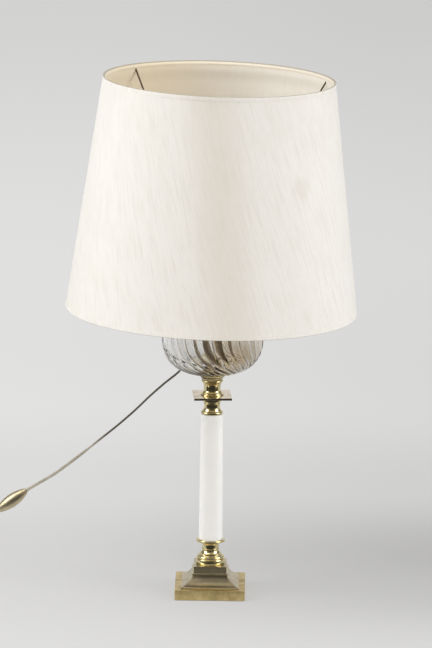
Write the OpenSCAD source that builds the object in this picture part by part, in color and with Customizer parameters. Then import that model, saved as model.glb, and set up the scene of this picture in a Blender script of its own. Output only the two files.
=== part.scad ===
// Electrified column oil lamp: stepped square base, tapered stone column, swirled glass font,
// round burner with an electric adaptor in its chimney seat, and a coned fabric shade.
// Millimetres. The lamp stands on z = 0, its axis is Z and its front faces -Y.

/* [Base] */
// Thickness of the felt under the plinth
felt_h = 0.5; // [0.5:0.1:2]
// Margin between the felt and the plinth's edge
felt_margin = 1.5; // [0.5:0.5:5]
// Side of the square plinth plate
plinth_side = 85; // [74:1:110]
// Height of the plinth plate
plinth_h = 12.1; // [9:0.1:18]
// Side of the square recess under the plinth
recess_side = 52; // [40:1:60]
// Depth of the recess under the plinth
recess_h = 7; // [6.9:0.1:8]
// Side of the riser at its foot lip
riser_foot_side = 70; // [56:1:72]
// Height of the riser's foot lip
riser_foot_h = 1.5; // [1:0.1:3]
// Side of the riser where the cove ends, under the step
riser_neck_side = 42.8; // [40:0.2:46]
// Height of the riser's cove
riser_cove_h = 12.3; // [8:0.1:18]
// Depth of the cove's hollow, measured from its chord
riser_cove_sag = 2.4; // [1:0.1:3.5]
// Side of the thin step above the cove
riser_step_side = 44.2; // [42:0.2:50]
// Height of the thin step
riser_step_h = 1.8; // [1:0.1:4]
// Side of the riser's top block
block_side = 40; // [36:0.5:44]
// Height of the riser's top block
block_h = 8.2; // [5:0.1:14]

/* [Tie rod] */
// Diameter of the threaded tie rod that clamps the stack
rod_d = 10; // [8:0.5:12]
// Bore of the tie rod, through which nothing runs today
rod_bore_d = 7; // [4:0.5:7]
// Radial clearance of every bore on the tie rod
rod_gap = 0.25; // [0.1:0.05:0.5]
// Width across the flats of the tie nut
nut_flats = 17; // [15:0.5:20]
// Height of the tie nut
nut_h = 4.6; // [4:0.1:5]
// Diameter of the tie washer
washer_d = 24; // [20:1:30]
// Thickness of the tie washer
washer_h = 1.5; // [1:0.1:1.6]

/* [Foot turning] */
// Diameter of the bottom torus of the foot
foot_disc_d = 35.4; // [32:0.2:40]
// Height of the bottom torus of the foot
foot_disc_h = 6.6; // [4:0.1:10]
// Diameter of the ring above the torus
foot_ring_d = 33; // [28:0.2:36]
// Height of the ring above the torus
foot_ring_h = 3.4; // [2:0.1:6]
// Height of the quirk between the ring and the fillet
foot_quirk_h = 1.4; // [0.8:0.1:3]
// Diameter of the fillet under the bell
foot_fillet_d = 27.2; // [25:0.2:30]
// Height of the fillet under the bell
foot_fillet_h = 1.6; // [1:0.1:3]
// Diameter of the bell at its foot
foot_bell_d = 25; // [22:0.2:27]
// Height of the bell
foot_bell_h = 5.2; // [3:0.1:9]
// Diameter of the bead between the bell and the neck
foot_bead_d = 21.4; // [20.8:0.2:24]
// Height of the bead between the bell and the neck
foot_bead_h = 1.2; // [0.8:0.1:3]
// Diameter of the foot's neck
foot_neck_d = 20.2; // [16:0.2:20.4]
// Height of the foot's neck
foot_neck_h = 5; // [2:0.1:9]
// Height of the flare that carries the dished cup
cup_flare_h = 2.2; // [2:0.1:6]
// Diameter of the dished cup's rim
cup_d = 35.4; // [33:0.2:40]
// Height of the dished cup's rim
cup_rim_h = 3.4; // [1.5:0.1:5]
// Diameter of the raised seat in the cup on which the shaft stands
cup_seat_d = 30.6; // [30:0.2:32]
// Height of the raised seat
cup_seat_h = 0.4; // [0.2:0.1:1]

/* [Stone shaft] */
// Diameter of the stone shaft at its foot
shaft_foot_d = 29.2; // [26:0.2:30]
// Diameter of the stone shaft at its head
shaft_head_d = 27; // [24:0.2:28]
// Height of the stone shaft
shaft_h = 156.1; // [100:0.1:220]

/* [Capital] */
// Diameter of the capital's bottom ring
cap_ring_d = 26.7; // [24:0.1:30]
// Height of the capital's bottom ring
cap_ring_h = 3.7; // [2:0.1:6]
// Diameter of the capital's bell at its foot
cap_bell_d = 22.8; // [21:0.2:24]
// Height of the capital's bell
cap_bell_h = 7.2; // [4:0.1:12]
// Diameter of the capital's waist
cap_waist_d = 19.6; // [17:0.2:20]
// Height of the capital's waist
cap_waist_h = 1.7; // [1:0.1:6]
// Diameter of the bead above the waist
cap_bead_d = 20.8; // [20.4:0.2:22]
// Height of the bead above the waist
cap_bead_h = 1.3; // [0.8:0.1:3]
// Height of the cove under the flange
cap_cove_h = 2.2; // [1:0.1:4]
// Diameter of the flange under the abacus
cap_flange_d = 23.8; // [22:0.2:28]
// Height of the flange under the abacus
cap_flange_h = 4.9; // [1.5:0.1:6]
// Side of the square abacus plate
abacus_side = 45.7; // [40:0.1:56]
// Thickness of the abacus plate
abacus_h = 2.8; // [1.5:0.1:5]
// Turn of the abacus plate against the plinth, in degrees
abacus_turn = 3.9; // [0:0.1:8]

/* [Vase turning] */
// Diameter of the vase turning's foot disc
vase_foot_d = 28.2; // [26:0.2:32]
// Height of the vase turning's foot disc
vase_foot_h = 1.5; // [1:0.1:3]
// Diameter of the step on the foot disc
vase_step_d = 24; // [22:0.2:25.6]
// Height of the step on the foot disc
vase_step_h = 1.2; // [0.8:0.1:3]
// Height of the cove from the step up to the waist
vase_cove_h = 3.6; // [2:0.1:6]
// Diameter of the vase turning's waist
vase_waist_d = 20.6; // [18:0.2:21]
// Height of the waist
vase_waist_h = 3; // [1:0.1:6]
// Diameter at the top of the vase's flare
vase_flare_d = 24; // [21.2:0.2:24]
// Height of the vase's flare
vase_flare_h = 6.6; // [2:0.1:9]
// Diameter of the cup ring that holds the glass
vase_ring_d = 26.2; // [25.4:0.2:30]
// Height of the cup ring
vase_ring_h = 2.6; // [2:0.1:7]
// Depth of the socket in the cup ring, for the glass peg
socket_h = 7; // [4:0.1:8]
// Wall left round that socket at the vase's waist
socket_wall = 1; // [0.8:0.1:1.8]

/* [Glass font] */
// Largest diameter of the font, over its ribs
font_d = 122.8; // [110:0.2:140]
// Height from the font's foot to its widest level
font_waist_h = 58.2; // [54:0.1:70]
// Depth of the bowl's lower half
font_low_h = 51; // [46:0.5:52]
// Depth of the shoulder above the widest level
font_high_h = 33; // [26:0.5:44]
// Fullness of the bowl's outline: 2 is an ellipse, more is squarer
font_full = 2.8; // [2.2:0.1:3.2]
// Diameter of the glass foot that stands on the cup ring
font_foot_d = 25.6; // [24:0.2:26]
// Height of the straight part of the glass foot
font_foot_h = 1.4; // [0.8:0.1:3]
// Diameter at the top of the funnel above the foot
font_funnel_d = 37; // [32:0.5:40]
// Height of the funnel
font_funnel_h = 5.3; // [4:0.1:6]
// Thickness of the glass, ribs included
font_wall = 3.8; // [3:0.1:5]
// Diameter of the font's neck
font_neck_d = 58; // [50:0.5:66]
// Height of the straight neck
font_neck_h = 5; // [4:0.1:9]
// Number of swirled ribs round the font
rib_count = 32; // [24:1:36]
// Depth of the grooves between the ribs
rib_depth = 1.5; // [0.6:0.1:2]
// Steady lean of the ribs over the bowl's depth, in degrees of turn
swirl_lean = 8; // [0:1:20]
// Extra turn that gathers towards the font's foot, in degrees
swirl_pull = 55; // [20:1:80]
// Gap between the glass peg and its socket, filled with cement
cement_h = 1; // [0.6:0.1:1.5]

/* [Collar and burner] */
// Radial clearance of the glass neck in its collar
collar_gap = 0.3; // [0.2:0.1:0.8]
// Wall of the collar
collar_wall = 2.2; // [1.5:0.1:4]
// Height of the collar's flange above the glass rim
collar_flange_h = 2.6; // [1.5:0.1:4]
// Bore of the collar, in which the burner screws
collar_bore_d = 48; // [44:0.5:50]
// Radial clearance of the burner's spigot in the collar
spigot_gap = 0.3; // [0.2:0.05:0.5]
// Height of the burner's screw spigot
spigot_h = 8; // [5:0.5:12]
// Diameter of the burner's base plate
burner_plate_d = 60; // [56:1:66]
// Thickness of the burner's base plate
burner_plate_h = 3; // [2:0.1:5]
// Diameter of the wick tube
wick_tube_d = 30; // [24:0.5:32]
// Wall of the wick tube
wick_tube_wall = 1.2; // [0.8:0.1:2]
// Length of the wick tube below the base plate
wick_tube_drop = 78; // [40:1:79]
// Diameter of the perforated gallery
gallery_d = 54; // [50:1:58]
// Height of the perforated gallery
gallery_h = 14; // [12:0.5:20]
// Wall of the perforated gallery
gallery_wall = 1.2; // [0.8:0.1:2]
// Number of air holes round the gallery
gallery_holes = 18; // [12:1:22]
// Diameter of the air holes
gallery_hole_d = 4; // [3:0.5:5]
// Diameter of the wick shaft
wick_shaft_d = 3; // [2:0.5:4]
// Radial running clearance of the wick shaft
shaft_gap = 0.08; // [0.05:0.01:0.1]
// Diameter of the wick knob
knob_d = 17; // [12:0.5:20]
// Thickness of the wick knob
knob_h = 5; // [3:0.5:8]
// Number of finger grooves round the wick knob
knob_grooves = 20; // [12:1:24]

/* [Adaptor and lamp holder] */
// Diameter of the adaptor cap at its foot
adaptor_d = 40; // [36:0.5:46]
// Height of the adaptor cap
adaptor_h = 17; // [15:0.5:24]
// Diameter of the adaptor cap at its top
adaptor_top_d = 18; // [16:0.5:22]
// Wall of the adaptor cap
adaptor_wall = 2; // [1.2:0.1:2.6]
// Height of the cord outlet above the adaptor's foot
outlet_h = 6.5; // [5.6:0.1:7]
// Direction of the cord outlet, counted from +X towards +Y
outlet_turn = 70; // [40:1:110]
// Diameter of the cord bush's flange
bush_d = 9; // [8:0.5:10]
// Length of the cord bush outside the adaptor
bush_out = 3; // [2:0.5:5]
// Diameter of the hollow nipple between adaptor and holder
nipple_d = 10; // [8:0.5:12]
// Bore of the hollow nipple
nipple_bore_d = 7.5; // [5:0.5:8]
// Height of the holder cap
holder_cap_h = 15; // [12:0.5:20]
// Diameter of the holder's body
holder_d = 34; // [32:0.5:36]
// Diameter of the holder's threaded skirt, which carries the shade
skirt_d = 39.6; // [38:0.2:42]
// Height of the holder's body below the skirt
holder_body_h = 12; // [8:0.5:16]
// Height of the threaded skirt
skirt_h = 27; // [22:0.5:34]
// Bore of the holder
holder_bore_d = 27.4; // [27:0.1:28]
// Thickness of the insulating core
core_h = 6; // [4:0.5:8]
// Diameter of the shade nuts
shade_nut_d = 50; // [46:0.5:54]
// Thickness of a shade nut
shade_nut_h = 4; // [3:0.5:5]
// Radial clearance of the nuts and the carrier ring on the skirt
ring_gap = 0.3; // [0.2:0.05:0.6]
// Height of the carrier ring above the skirt's foot
ring_up = 15; // [9:0.5:18]

/* [Bulb] */
// Diameter of the bulb's glass
bulb_d = 60; // [45:1:60]
// Height of the bulb above its cap
bulb_h = 81; // [70:1:82]
// Diameter of the bulb's cap
bulb_cap_d = 26.4; // [26:0.1:26.6]
// Height of the bulb's cap
bulb_cap_h = 26; // [22:0.5:27]
// Thickness of the bulb's glass
bulb_wall = 0.9; // [0.6:0.1:1.5]
// Clearance of the bulb's contact over the holder's contact
contact_gap = 0.3; // [0.2:0.1:0.6]

/* [Shade] */
// Diameter of the shade at its bottom rim
shade_bottom_d = 349; // [300:1:400]
// Diameter of the shade at its top rim
shade_top_d = 277; // [220:1:300]
// Height of the shade
shade_h = 275; // [230:1:300]
// Height of the top rim above the carrier ring
carrier_drop = 189.8; // [150:0.2:200]
// Lean of the shade to one side on its thin arms, in degrees
shade_lean = 1.4; // [0:0.1:3]
// Thickness of the fabric cover
cover_t = 0.5; // [0.4:0.1:1]
// Thickness of the lining
lining_t = 0.5; // [0.4:0.1:1]
// Diameter of the wire rings in the rims
wire_d = 3; // [2:0.2:4]
// Width of the folded hems
hem_h = 5; // [4:0.5:8]
// Thickness of the folded hems
hem_t = 0.4; // [0.3:0.1:0.8]
// Diameter of the carrier's rod arms
arm_d = 2; // [1.6:0.1:3]
// Number of carrier arms
arm_count = 3;
// Direction of the first carrier arm, counted from +X towards +Y
arm_turn = 19; // [0:1:119]
// Diameter of the carrier's centre ring
carrier_ring_d = 49; // [45:0.5:52]
// Thickness of the carrier's centre ring
carrier_ring_h = 2; // [1.5:0.1:3]

/* [Cord, switch and plug] */
// Diameter of the cord
cord_d = 3.6; // [3:0.1:4]
// Length of the olive-shaped switch
switch_l = 43; // [40:0.5:60]
// Largest diameter of the switch
switch_d = 16; // [15:0.2:20]
// Diameter of the switch at its ends
switch_end_d = 6.2; // [5:0.2:8]
// Slope of the switch as it hangs in the cord, in degrees
switch_slope = 36.4; // [20:0.2:45]
// Turn of the switch about the cord: 0 has the rocker at the back, 90 underneath
switch_roll = 55; // [0:5:90]
// Length of the rocker
rocker_l = 12.6; // [10:0.2:14]
// Width of the rocker
rocker_w = 5.2; // [4:0.2:6]
// Clearance round the rocker in its slot
rocker_gap = 0.4; // [0.3:0.05:0.6]
// Tilt of the rocker to either side of level, in degrees
rocker_tilt = 8; // [4:1:9]
// Diameter of the rocker's trunnions
trunnion_d = 1.6; // [1.2:0.1:2]
// Radial running clearance of the trunnions
trunnion_gap = 0.06; // [0.03:0.01:0.1]
// Diameter of a switch screw's head
screw_head_d = 3.4; // [3:0.1:4]
// Turns of the put-away coil
coil_turns = 7.5; // [6.5:1:9.5]
// Layers of the coil
coil_layers = 4; // [2:2:4]
// Diameter of the coil at the middle of its turns
coil_mean_d = 42.5; // [38:0.5:50]
// Free space between neighbouring turns
coil_space = 0.6; // [0.5:0.1:1.5]
// Length of the plug's body
plug_l = 36; // [32:0.5:42]
// Width of the plug's body
plug_w = 35; // [32:0.5:38]
// Thickness of the plug's body
plug_t = 13.7; // [12:0.1:16]
// Diameter of the plug's pins
pin_d = 4; // [3.8:0.1:4.2]
// Length of the plug's pins
pin_l = 19; // [18:0.5:20]
// Distance between the plug's pins
pin_pitch = 18.6; // [17:0.1:19]

/* [Hidden] */
$fn = 96;

// Small play between pieces that only touch, and an overcut for clean cuts
seat = 0.1;
cut = 1;

// Levels of the stack, each piece standing on the one before it
plinth_z = felt_h;
riser_z = plinth_z + plinth_h;
step_z = riser_z + riser_foot_h + riser_cove_h;
block_z = step_z + riser_step_h;
foot_z = block_z + block_h;
foot_h = foot_disc_h + foot_ring_h + foot_quirk_h + foot_fillet_h + foot_bell_h
       + foot_bead_h + foot_neck_h + cup_flare_h + cup_rim_h + cup_seat_h;
shaft_z = foot_z + foot_h;
cap_z = shaft_z + shaft_h;
cap_h = cap_ring_h + cap_bell_h + cap_waist_h + cap_bead_h + cap_cove_h + cap_flange_h;
abacus_z = cap_z + cap_h;
vase_z = abacus_z + abacus_h;
vase_h = vase_foot_h + vase_step_h + vase_cove_h + vase_waist_h + vase_flare_h + vase_ring_h;
font_z = vase_z + vase_h;
font_waist_z = font_z + font_waist_h;

// Tie rod, from its nut up to just under the glass socket
bore_r = rod_d / 2 + rod_gap;
web_z = plinth_z + recess_h;
nut_z = web_z - washer_h - nut_h;
rod_end_gap = 0.5;
rod_foot_z = nut_z - plinth_z > rod_end_gap ? nut_z - rod_end_gap : plinth_z;
socket_z = font_z - socket_h;
socket_r = vase_waist_d / 2 - socket_wall;
rod_head_z = socket_z - rod_end_gap;

// Font neck, collar and burner
neck_r = font_neck_d / 2;
neck_foot_z = font_waist_z + shell_height(neck_r, font_d / 2, font_high_h);
rim_z = neck_foot_z + font_neck_h;
peg_r = socket_r - cement_h;
collar_in_r = neck_r + collar_gap;
collar_out_r = collar_in_r + collar_wall;
collar_top_z = rim_z + collar_gap + collar_flange_h;
spigot_r = collar_bore_d / 2 - spigot_gap;
plate_top_z = collar_top_z + burner_plate_h;
wick_r = wick_tube_d / 2;
gallery_r = gallery_d / 2;
gallery_top_z = plate_top_z + gallery_h;
wick_shaft_z = plate_top_z + gallery_h / 2;
wick_top_z = gallery_top_z - gallery_wall;
knob_x = gallery_r + 12;

// Adaptor and lamp holder
adaptor_z = gallery_top_z;
adaptor_top_z = adaptor_z + adaptor_h;
outlet_z = adaptor_z + outlet_h;
outlet_dir = [cos(outlet_turn), sin(outlet_turn), 0];
bush_r = cord_d / 2 + 1.2;
adaptor_foot_h = 12;
nipple_foot_z = adaptor_top_z - adaptor_wall - 3;
holder_z = adaptor_top_z;
holder_wall = 1.6;
nipple_head_z = holder_z + holder_wall + 3;
shell_z = holder_z + holder_cap_h;
skirt_z = shell_z + holder_body_h;
skirt_top_z = skirt_z + skirt_h;
ring_z = skirt_z + ring_up;
thread_r = skirt_d / 2;
bore_d_half = holder_bore_d / 2;
contact_h = 1.6;
contact_z = shell_z + core_h;
bulb_z = contact_z + contact_h + contact_gap;
bulb_glass_z = bulb_z + bulb_cap_h;

// Shade, in its own upright frame: the lean turns all of it about the carrier ring
shade_top_z = ring_z + carrier_drop;
shade_z = shade_top_z - shade_h;
top_r = shade_top_d / 2;
bottom_r = shade_bottom_d / 2;
skin_t = cover_t + lining_t;
wire_r = wire_d / 2;
top_wire_z = shade_top_z - wire_r - hem_t;
bottom_wire_z = shade_z + wire_r + hem_t;

// Switch: centre and direction of its axis, pointing to the lamp
switch_at = [-243.7, 42, 100];
switch_dir = [cos(switch_slope), 0, sin(switch_slope)];
switch_lamp_end = switch_at + switch_dir * switch_l / 2;
switch_far_end = switch_at - switch_dir * switch_l / 2;
pivot_y = 3;
screw_x = 12.5;
screw_seat_y = 4.6;

// Coil: stands left of the lamp and behind the cord's landing, turns counter-clockwise
coil_at = [-350, 110];
coil_pitch = cord_d + coil_space;
layer_turns = coil_turns / coil_layers;
coil_out_r = coil_mean_d / 2 + layer_turns * coil_pitch / 2;
coil_sides = 6;
coil_steps = 24;
flat_r = cord_d / 2 * cos(180 / coil_sides);
cord_sides = 8;
lie_z = cord_d / 2 * cos(180 / cord_sides) + 0.05;
coil_start = [coil_at.x, coil_at.y - coil_out_r, flat_r];
coil_end = [coil_at.x, coil_at.y + coil_out_r, flat_r + (coil_layers - 1) * coil_pitch];
plug_z = plug_t / 2;
plug_x = -412;

// Route of the cord from the adaptor, out over the font's shoulder, down behind the glass
// and along its hanging curve to the switch
lamp_side_route = concat(
  [for (d = [-2, 6]) outlet_dir * (adaptor_d / 2 + bush_out + d) + [0, 0, outlet_z]],
  [[12.5, 38, 385.4], [15.8, 48.5, 381.5], [18, 60, 372], [18, 69, 359], [15.5, 74, 344],
   [10, 76.5, 327], [0, 76.5, 310], [-12, 73, 293], [-25, 68.5, 277], [-41, 62, 260],
   [-58, 60, 246], [-76, 58, 230], [-95, 56, 211.5], [-115, 53, 194], [-137, 51, 176],
   [-163, 49, 155], [-191, 46, 134], [-209, 43.8, 123.2], switch_lamp_end]);
// Route from the switch down to the floor, round a half turn and on to the coil
bend_r = (coil_start.y - 49) / 2;
bend_at = [-408, 49 + bend_r];
floor_side_route = concat(
  [switch_far_end, [-280, 42.5, 73.2], [-301, 43.5, 57.6], [-322, 44.7, 42.6],
   [-343, 46, 28.6], [-362, 47.4, 16.5], [-378, 48.4, 7], [-393, 49, 2]],
  [for (a = [-90:-30:-270]) [bend_at.x + bend_r * cos(a), bend_at.y + bend_r * sin(a), lie_z]],
  [for (x = [-390, -371, coil_start.x - cord_d]) [x, coil_start.y, lie_z]]);
// Route from the coil's last turn down to the plug
plug_tail_route = concat(
  [coil_end - [cord_d, 0, 0]],
  [for (p = [[-366, 13.6], [-380, 11.2], [-394, 8.2], [-405, 7], [plug_x, plug_z]])
    [p.x, coil_end.y, p.y]]);

// Points of an arc from p to q whose middle stands s off the chord, p and q left out.
// A positive s bulges to the right of the way from p to q; half a circle is the most.
function bow(p, q, s, n = 6) =
  let (c = norm(q - p), rise = min(abs(s), c / 2), r = (c * c / 4 + rise * rise) / (2 * rise),
       half = asin(c / 2 / r), m = (p + q) / 2, u = (q - p) / c, side = [u.y, -u.x] * sign(s),
       o = m - side * (r * cos(half)))
  [for (i = [1:n - 1]) let (a = -half + 2 * half * i / n) o + r * (side * cos(a) + u * sin(a))];

// Solid of revolution from an outline that runs upwards, with a bore of radius b
module turned(outline, b) {
  last = len(outline) - 1;
  rotate_extrude() polygon(concat([[b, outline[0].y]], outline, [[b, outline[last].y]]));
}

module tube(r_out, r_in, h) {
  difference() {
    cylinder(r = r_out, h = h);
    translate([0, 0, -cut]) cylinder(r = r_in, h = h + 2 * cut);
  }
}

// Square moulding: one outline extruded both ways and crossed, so its corners are mitred
module square_moulding(outline, length) {
  profile = concat(outline, [for (i = [len(outline) - 1:-1:0]) [-outline[i].x, outline[i].y]]);
  intersection() {
    rotate([90, 0, 0]) linear_extrude(length, center = true) polygon(profile);
    rotate([90, 0, 90]) linear_extrude(length, center = true) polygon(profile);
  }
}

// Straight rod from p to q
module rod(p, q, d) {
  v = q - p;
  translate(p) rotate([0, acos(v.z / norm(v)), atan2(v.y, v.x)]) cylinder(d = d, h = norm(v));
}

// Smooth curve through route points, with n steps from one to the next
function knot(p, i) = p[max(0, min(len(p) - 1, i))];
function glide(a, b, c, d, t) =
  0.5 * (2 * b + (c - a) * t + (2 * a - 5 * b + 4 * c - d) * t * t
         + (3 * b - a - 3 * c + d) * t * t * t);
function smooth_route(p, n) = concat(
  [for (i = [0:len(p) - 2]) for (k = [0:n - 1])
    glide(knot(p, i - 1), p[i], p[i + 1], knot(p, i + 2), k / n)],
  [p[len(p) - 1]]);

// Direction of a route at point i
function heading(p, i) =
  let (v = p[min(i + 1, len(p) - 1)] - p[max(i - 1, 0)]) v / norm(v);

// Ring of points round a route at point i; ref is never along the route
function route_ring(p, i, r, sides, ref) =
  let (t = heading(p, i), s = cross(t, ref) / norm(cross(t, ref)), u = cross(s, t))
  [for (k = [0:sides - 1]) let (a = 360 * (k + (sides == cord_sides ? 0.5 : 0)) / sides)
    p[i] + r * (s * cos(a) + u * sin(a))];

// Tube swept along a route as one closed surface of triangles
module swept_tube(p, r, sides, ref) {
  last = len(p) - 1;
  points = concat([for (i = [0:last]) each route_ring(p, i, r, sides, ref)]);
  walls = [for (i = [0:last - 1]) for (k = [0:sides - 1])
    let (a = i * sides + k, b = i * sides + (k + 1) % sides)
    each [[a, a + sides, b], [b, a + sides, b + sides]]];
  foot = [for (k = [1:sides - 2]) [0, k, k + 1]];
  head = [for (k = [1:sides - 2]) [last * sides, last * sides + k + 1, last * sides + k]];
  polyhedron(points, concat(walls, foot, head));
}

// The shade's lean, about the carrier ring
module leaned() {
  translate([0, 0, ring_z]) rotate([0, shade_lean, 0]) translate([0, 0, -ring_z]) children();
}
function lean_point(p) =
  [p.x * cos(shade_lean) + (p.z - ring_z) * sin(shade_lean), p.y,
   (p.z - ring_z) * cos(shade_lean) - p.x * sin(shade_lean) + ring_z];

// Base

module base_felt() {
  color([0.16, 0.26, 0.18])
    linear_extrude(felt_h) square(plinth_side - 2 * felt_margin, center = true);
}

module base_plinth() {
  color([0.72, 0.60, 0.33]) difference() {
    translate([-plinth_side / 2, -plinth_side / 2, plinth_z])
      cube([plinth_side, plinth_side, plinth_h]);
    translate([-recess_side / 2, -recess_side / 2, plinth_z - cut])
      cube([recess_side, recess_side, recess_h + cut]);
    translate([0, 0, plinth_z]) cylinder(r = bore_r, h = plinth_h + cut);
  }
}

// Foot lip, cove, thin step and block, all mitred at the corners
module base_riser() {
  lip = [riser_foot_side / 2, riser_z + riser_foot_h];
  neck = [riser_neck_side / 2, step_z];
  outline = concat(
    [[riser_foot_side / 2, riser_z], lip],
    bow(lip, neck, -riser_cove_sag, 8),
    [neck, [riser_step_side / 2, step_z], [riser_step_side / 2, block_z],
     [block_side / 2, block_z], [block_side / 2, foot_z]]);
  color([0.55, 0.48, 0.30]) difference() {
    square_moulding(outline, plinth_side);
    translate([0, 0, riser_z - cut]) cylinder(r = bore_r, h = foot_z - riser_z + 2 * cut);
  }
}

module tie_washer() {
  color("silver") translate([0, 0, web_z - washer_h]) tube(washer_d / 2, bore_r, washer_h);
}

module tie_nut() {
  color("silver") translate([0, 0, nut_z]) difference() {
    cylinder(r = nut_flats / 2 / cos(30), h = nut_h, $fn = 6);
    translate([0, 0, -cut]) cylinder(r = rod_d / 2 + shaft_gap, h = nut_h + 2 * cut);
  }
}

module tie_rod() {
  color("darkgray") translate([0, 0, rod_foot_z])
    tube(rod_d / 2, rod_bore_d / 2, rod_head_z - rod_foot_z);
}

// Column

// Torus, ring, quirk, fillet, bell, bead, neck and the dished cup with its raised seat
module column_foot() {
  z1 = foot_z + foot_disc_h;
  z2 = z1 + foot_ring_h;
  z3 = z2 + foot_quirk_h;
  z4 = z3 + foot_fillet_h;
  z5 = z4 + foot_bell_h;
  z6 = z5 + foot_bead_h;
  z7 = z6 + foot_neck_h;
  z8 = z7 + cup_flare_h;
  z9 = z8 + cup_rim_h;
  roll = 0.6;
  disc_r = foot_disc_d / 2 - roll;
  ring_r = foot_ring_d / 2 - roll;
  bead_r = foot_bead_d / 2;
  rim_r = cup_d / 2 - roll / 2;
  color([0.83, 0.68, 0.30]) turned(concat(
    [[disc_r, foot_z]], bow([disc_r, foot_z], [disc_r, z1], roll), [[disc_r, z1]],
    [[ring_r, z1]], bow([ring_r, z1], [ring_r, z2], roll), [[ring_r, z2]],
    bow([ring_r, z2], [foot_fillet_d / 2, z3], -roll / 2, 4),
    [[foot_fillet_d / 2, z3], [foot_fillet_d / 2, z4], [foot_bell_d / 2, z4]],
    bow([foot_bell_d / 2, z4], [foot_neck_d / 2, z5], -roll),
    [[foot_neck_d / 2, z5]],
    bow([foot_neck_d / 2, z5], [foot_neck_d / 2, z6], bead_r - foot_neck_d / 2, 4),
    [[foot_neck_d / 2, z6], [foot_neck_d / 2, z7]],
    bow([foot_neck_d / 2, z7], [rim_r, z8], -1.2),
    [[rim_r, z8]], bow([rim_r, z8], [rim_r, z9], roll / 2, 4),
    [[rim_r, z9], [cup_seat_d / 2, z9], [cup_seat_d / 2, shaft_z]]), bore_r);
}

module column_shaft() {
  color([0.94, 0.94, 0.92]) difference() {
    translate([0, 0, shaft_z]) cylinder(d1 = shaft_foot_d, d2 = shaft_head_d, h = shaft_h);
    translate([0, 0, shaft_z - cut]) cylinder(r = bore_r, h = shaft_h + 2 * cut);
  }
}

// Ring, bell, waist, bead, cove and flange
module capital_turning() {
  z1 = cap_z + cap_ring_h;
  z2 = z1 + cap_bell_h;
  z3 = z2 + cap_waist_h;
  z4 = z3 + cap_bead_h;
  z5 = z4 + cap_cove_h;
  roll = 1.1;
  ring_r = cap_ring_d / 2 - roll;
  waist_r = cap_waist_d / 2;
  color([0.83, 0.68, 0.30]) turned(concat(
    [[ring_r, cap_z]], bow([ring_r, cap_z], [ring_r, z1], roll), [[ring_r, z1]],
    [[cap_bell_d / 2, z1]], bow([cap_bell_d / 2, z1], [waist_r, z2], -0.7),
    [[waist_r, z2], [waist_r, z3]],
    bow([waist_r, z3], [waist_r, z4], cap_bead_d / 2 - waist_r, 8), [[waist_r, z4]],
    bow([waist_r, z4], [cap_flange_d / 2, z5], -0.6, 4),
    [[cap_flange_d / 2, z5], [cap_flange_d / 2, abacus_z]]), bore_r);
}

module abacus_plate() {
  color([0.78, 0.68, 0.55]) rotate(abacus_turn) difference() {
    translate([-abacus_side / 2, -abacus_side / 2, abacus_z])
      cube([abacus_side, abacus_side, abacus_h]);
    translate([0, 0, abacus_z - cut]) cylinder(r = bore_r, h = abacus_h + 2 * cut);
  }
}

// Foot disc, step, cove, waist, flare and the cup ring with the socket for the glass
module vase_turning() {
  z1 = vase_z + vase_foot_h;
  z2 = z1 + vase_step_h;
  z3 = z2 + vase_cove_h;
  z4 = z3 + vase_waist_h;
  z5 = z4 + vase_flare_h;
  roll = 0.6;
  foot_r = vase_foot_d / 2 - roll / 2;
  waist_r = vase_waist_d / 2;
  ring_r = vase_ring_d / 2 - roll;
  color([0.83, 0.68, 0.30]) difference() {
    turned(concat(
      [[foot_r, vase_z]], bow([foot_r, vase_z], [foot_r, z1], roll / 2, 4), [[foot_r, z1]],
      [[vase_step_d / 2, z1], [vase_step_d / 2, z2]],
      bow([vase_step_d / 2, z2], [waist_r, z3], -0.5), [[waist_r, z3], [waist_r, z4]],
      bow([waist_r, z4], [vase_flare_d / 2, z5], -0.4), [[vase_flare_d / 2, z5]],
      [[ring_r, z5]], bow([ring_r, z5], [ring_r, font_z], roll), [[ring_r, font_z]]), bore_r);
    translate([0, 0, socket_z]) cylinder(r = socket_r, h = socket_h + cut);
  }
}

// Glass font

// Height over the widest level at which the bowl has radius r
function shell_height(r, a, b) = b * pow(1 - pow(r / a, font_full), 1 / font_full);
// Radius of the bowl at angle t from its widest level, and its height there
function shell_r(t, a) = a * pow(cos(t), 2 / font_full);
function shell_z(t, b) = b * pow(sin(t), 2 / font_full);

// How far the ribs have turned at height z
function swirl(z) =
  let (u = max(-1, min(1, (font_waist_z - z) / font_low_h)))
  swirl_lean * u + swirl_pull * u * u * u;
// How deep the grooves are at height z: they die out in the foot and under the neck
function groove(z, r) =
  let (low = (z - font_z - font_foot_h) / (font_funnel_h * 1.6),
       high = (neck_foot_z - z) / (font_high_h * 0.25))
  rib_depth * max(0, min(1, low)) * max(0, min(1, high)) * pow(2 * r / font_d, 0.5);

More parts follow.
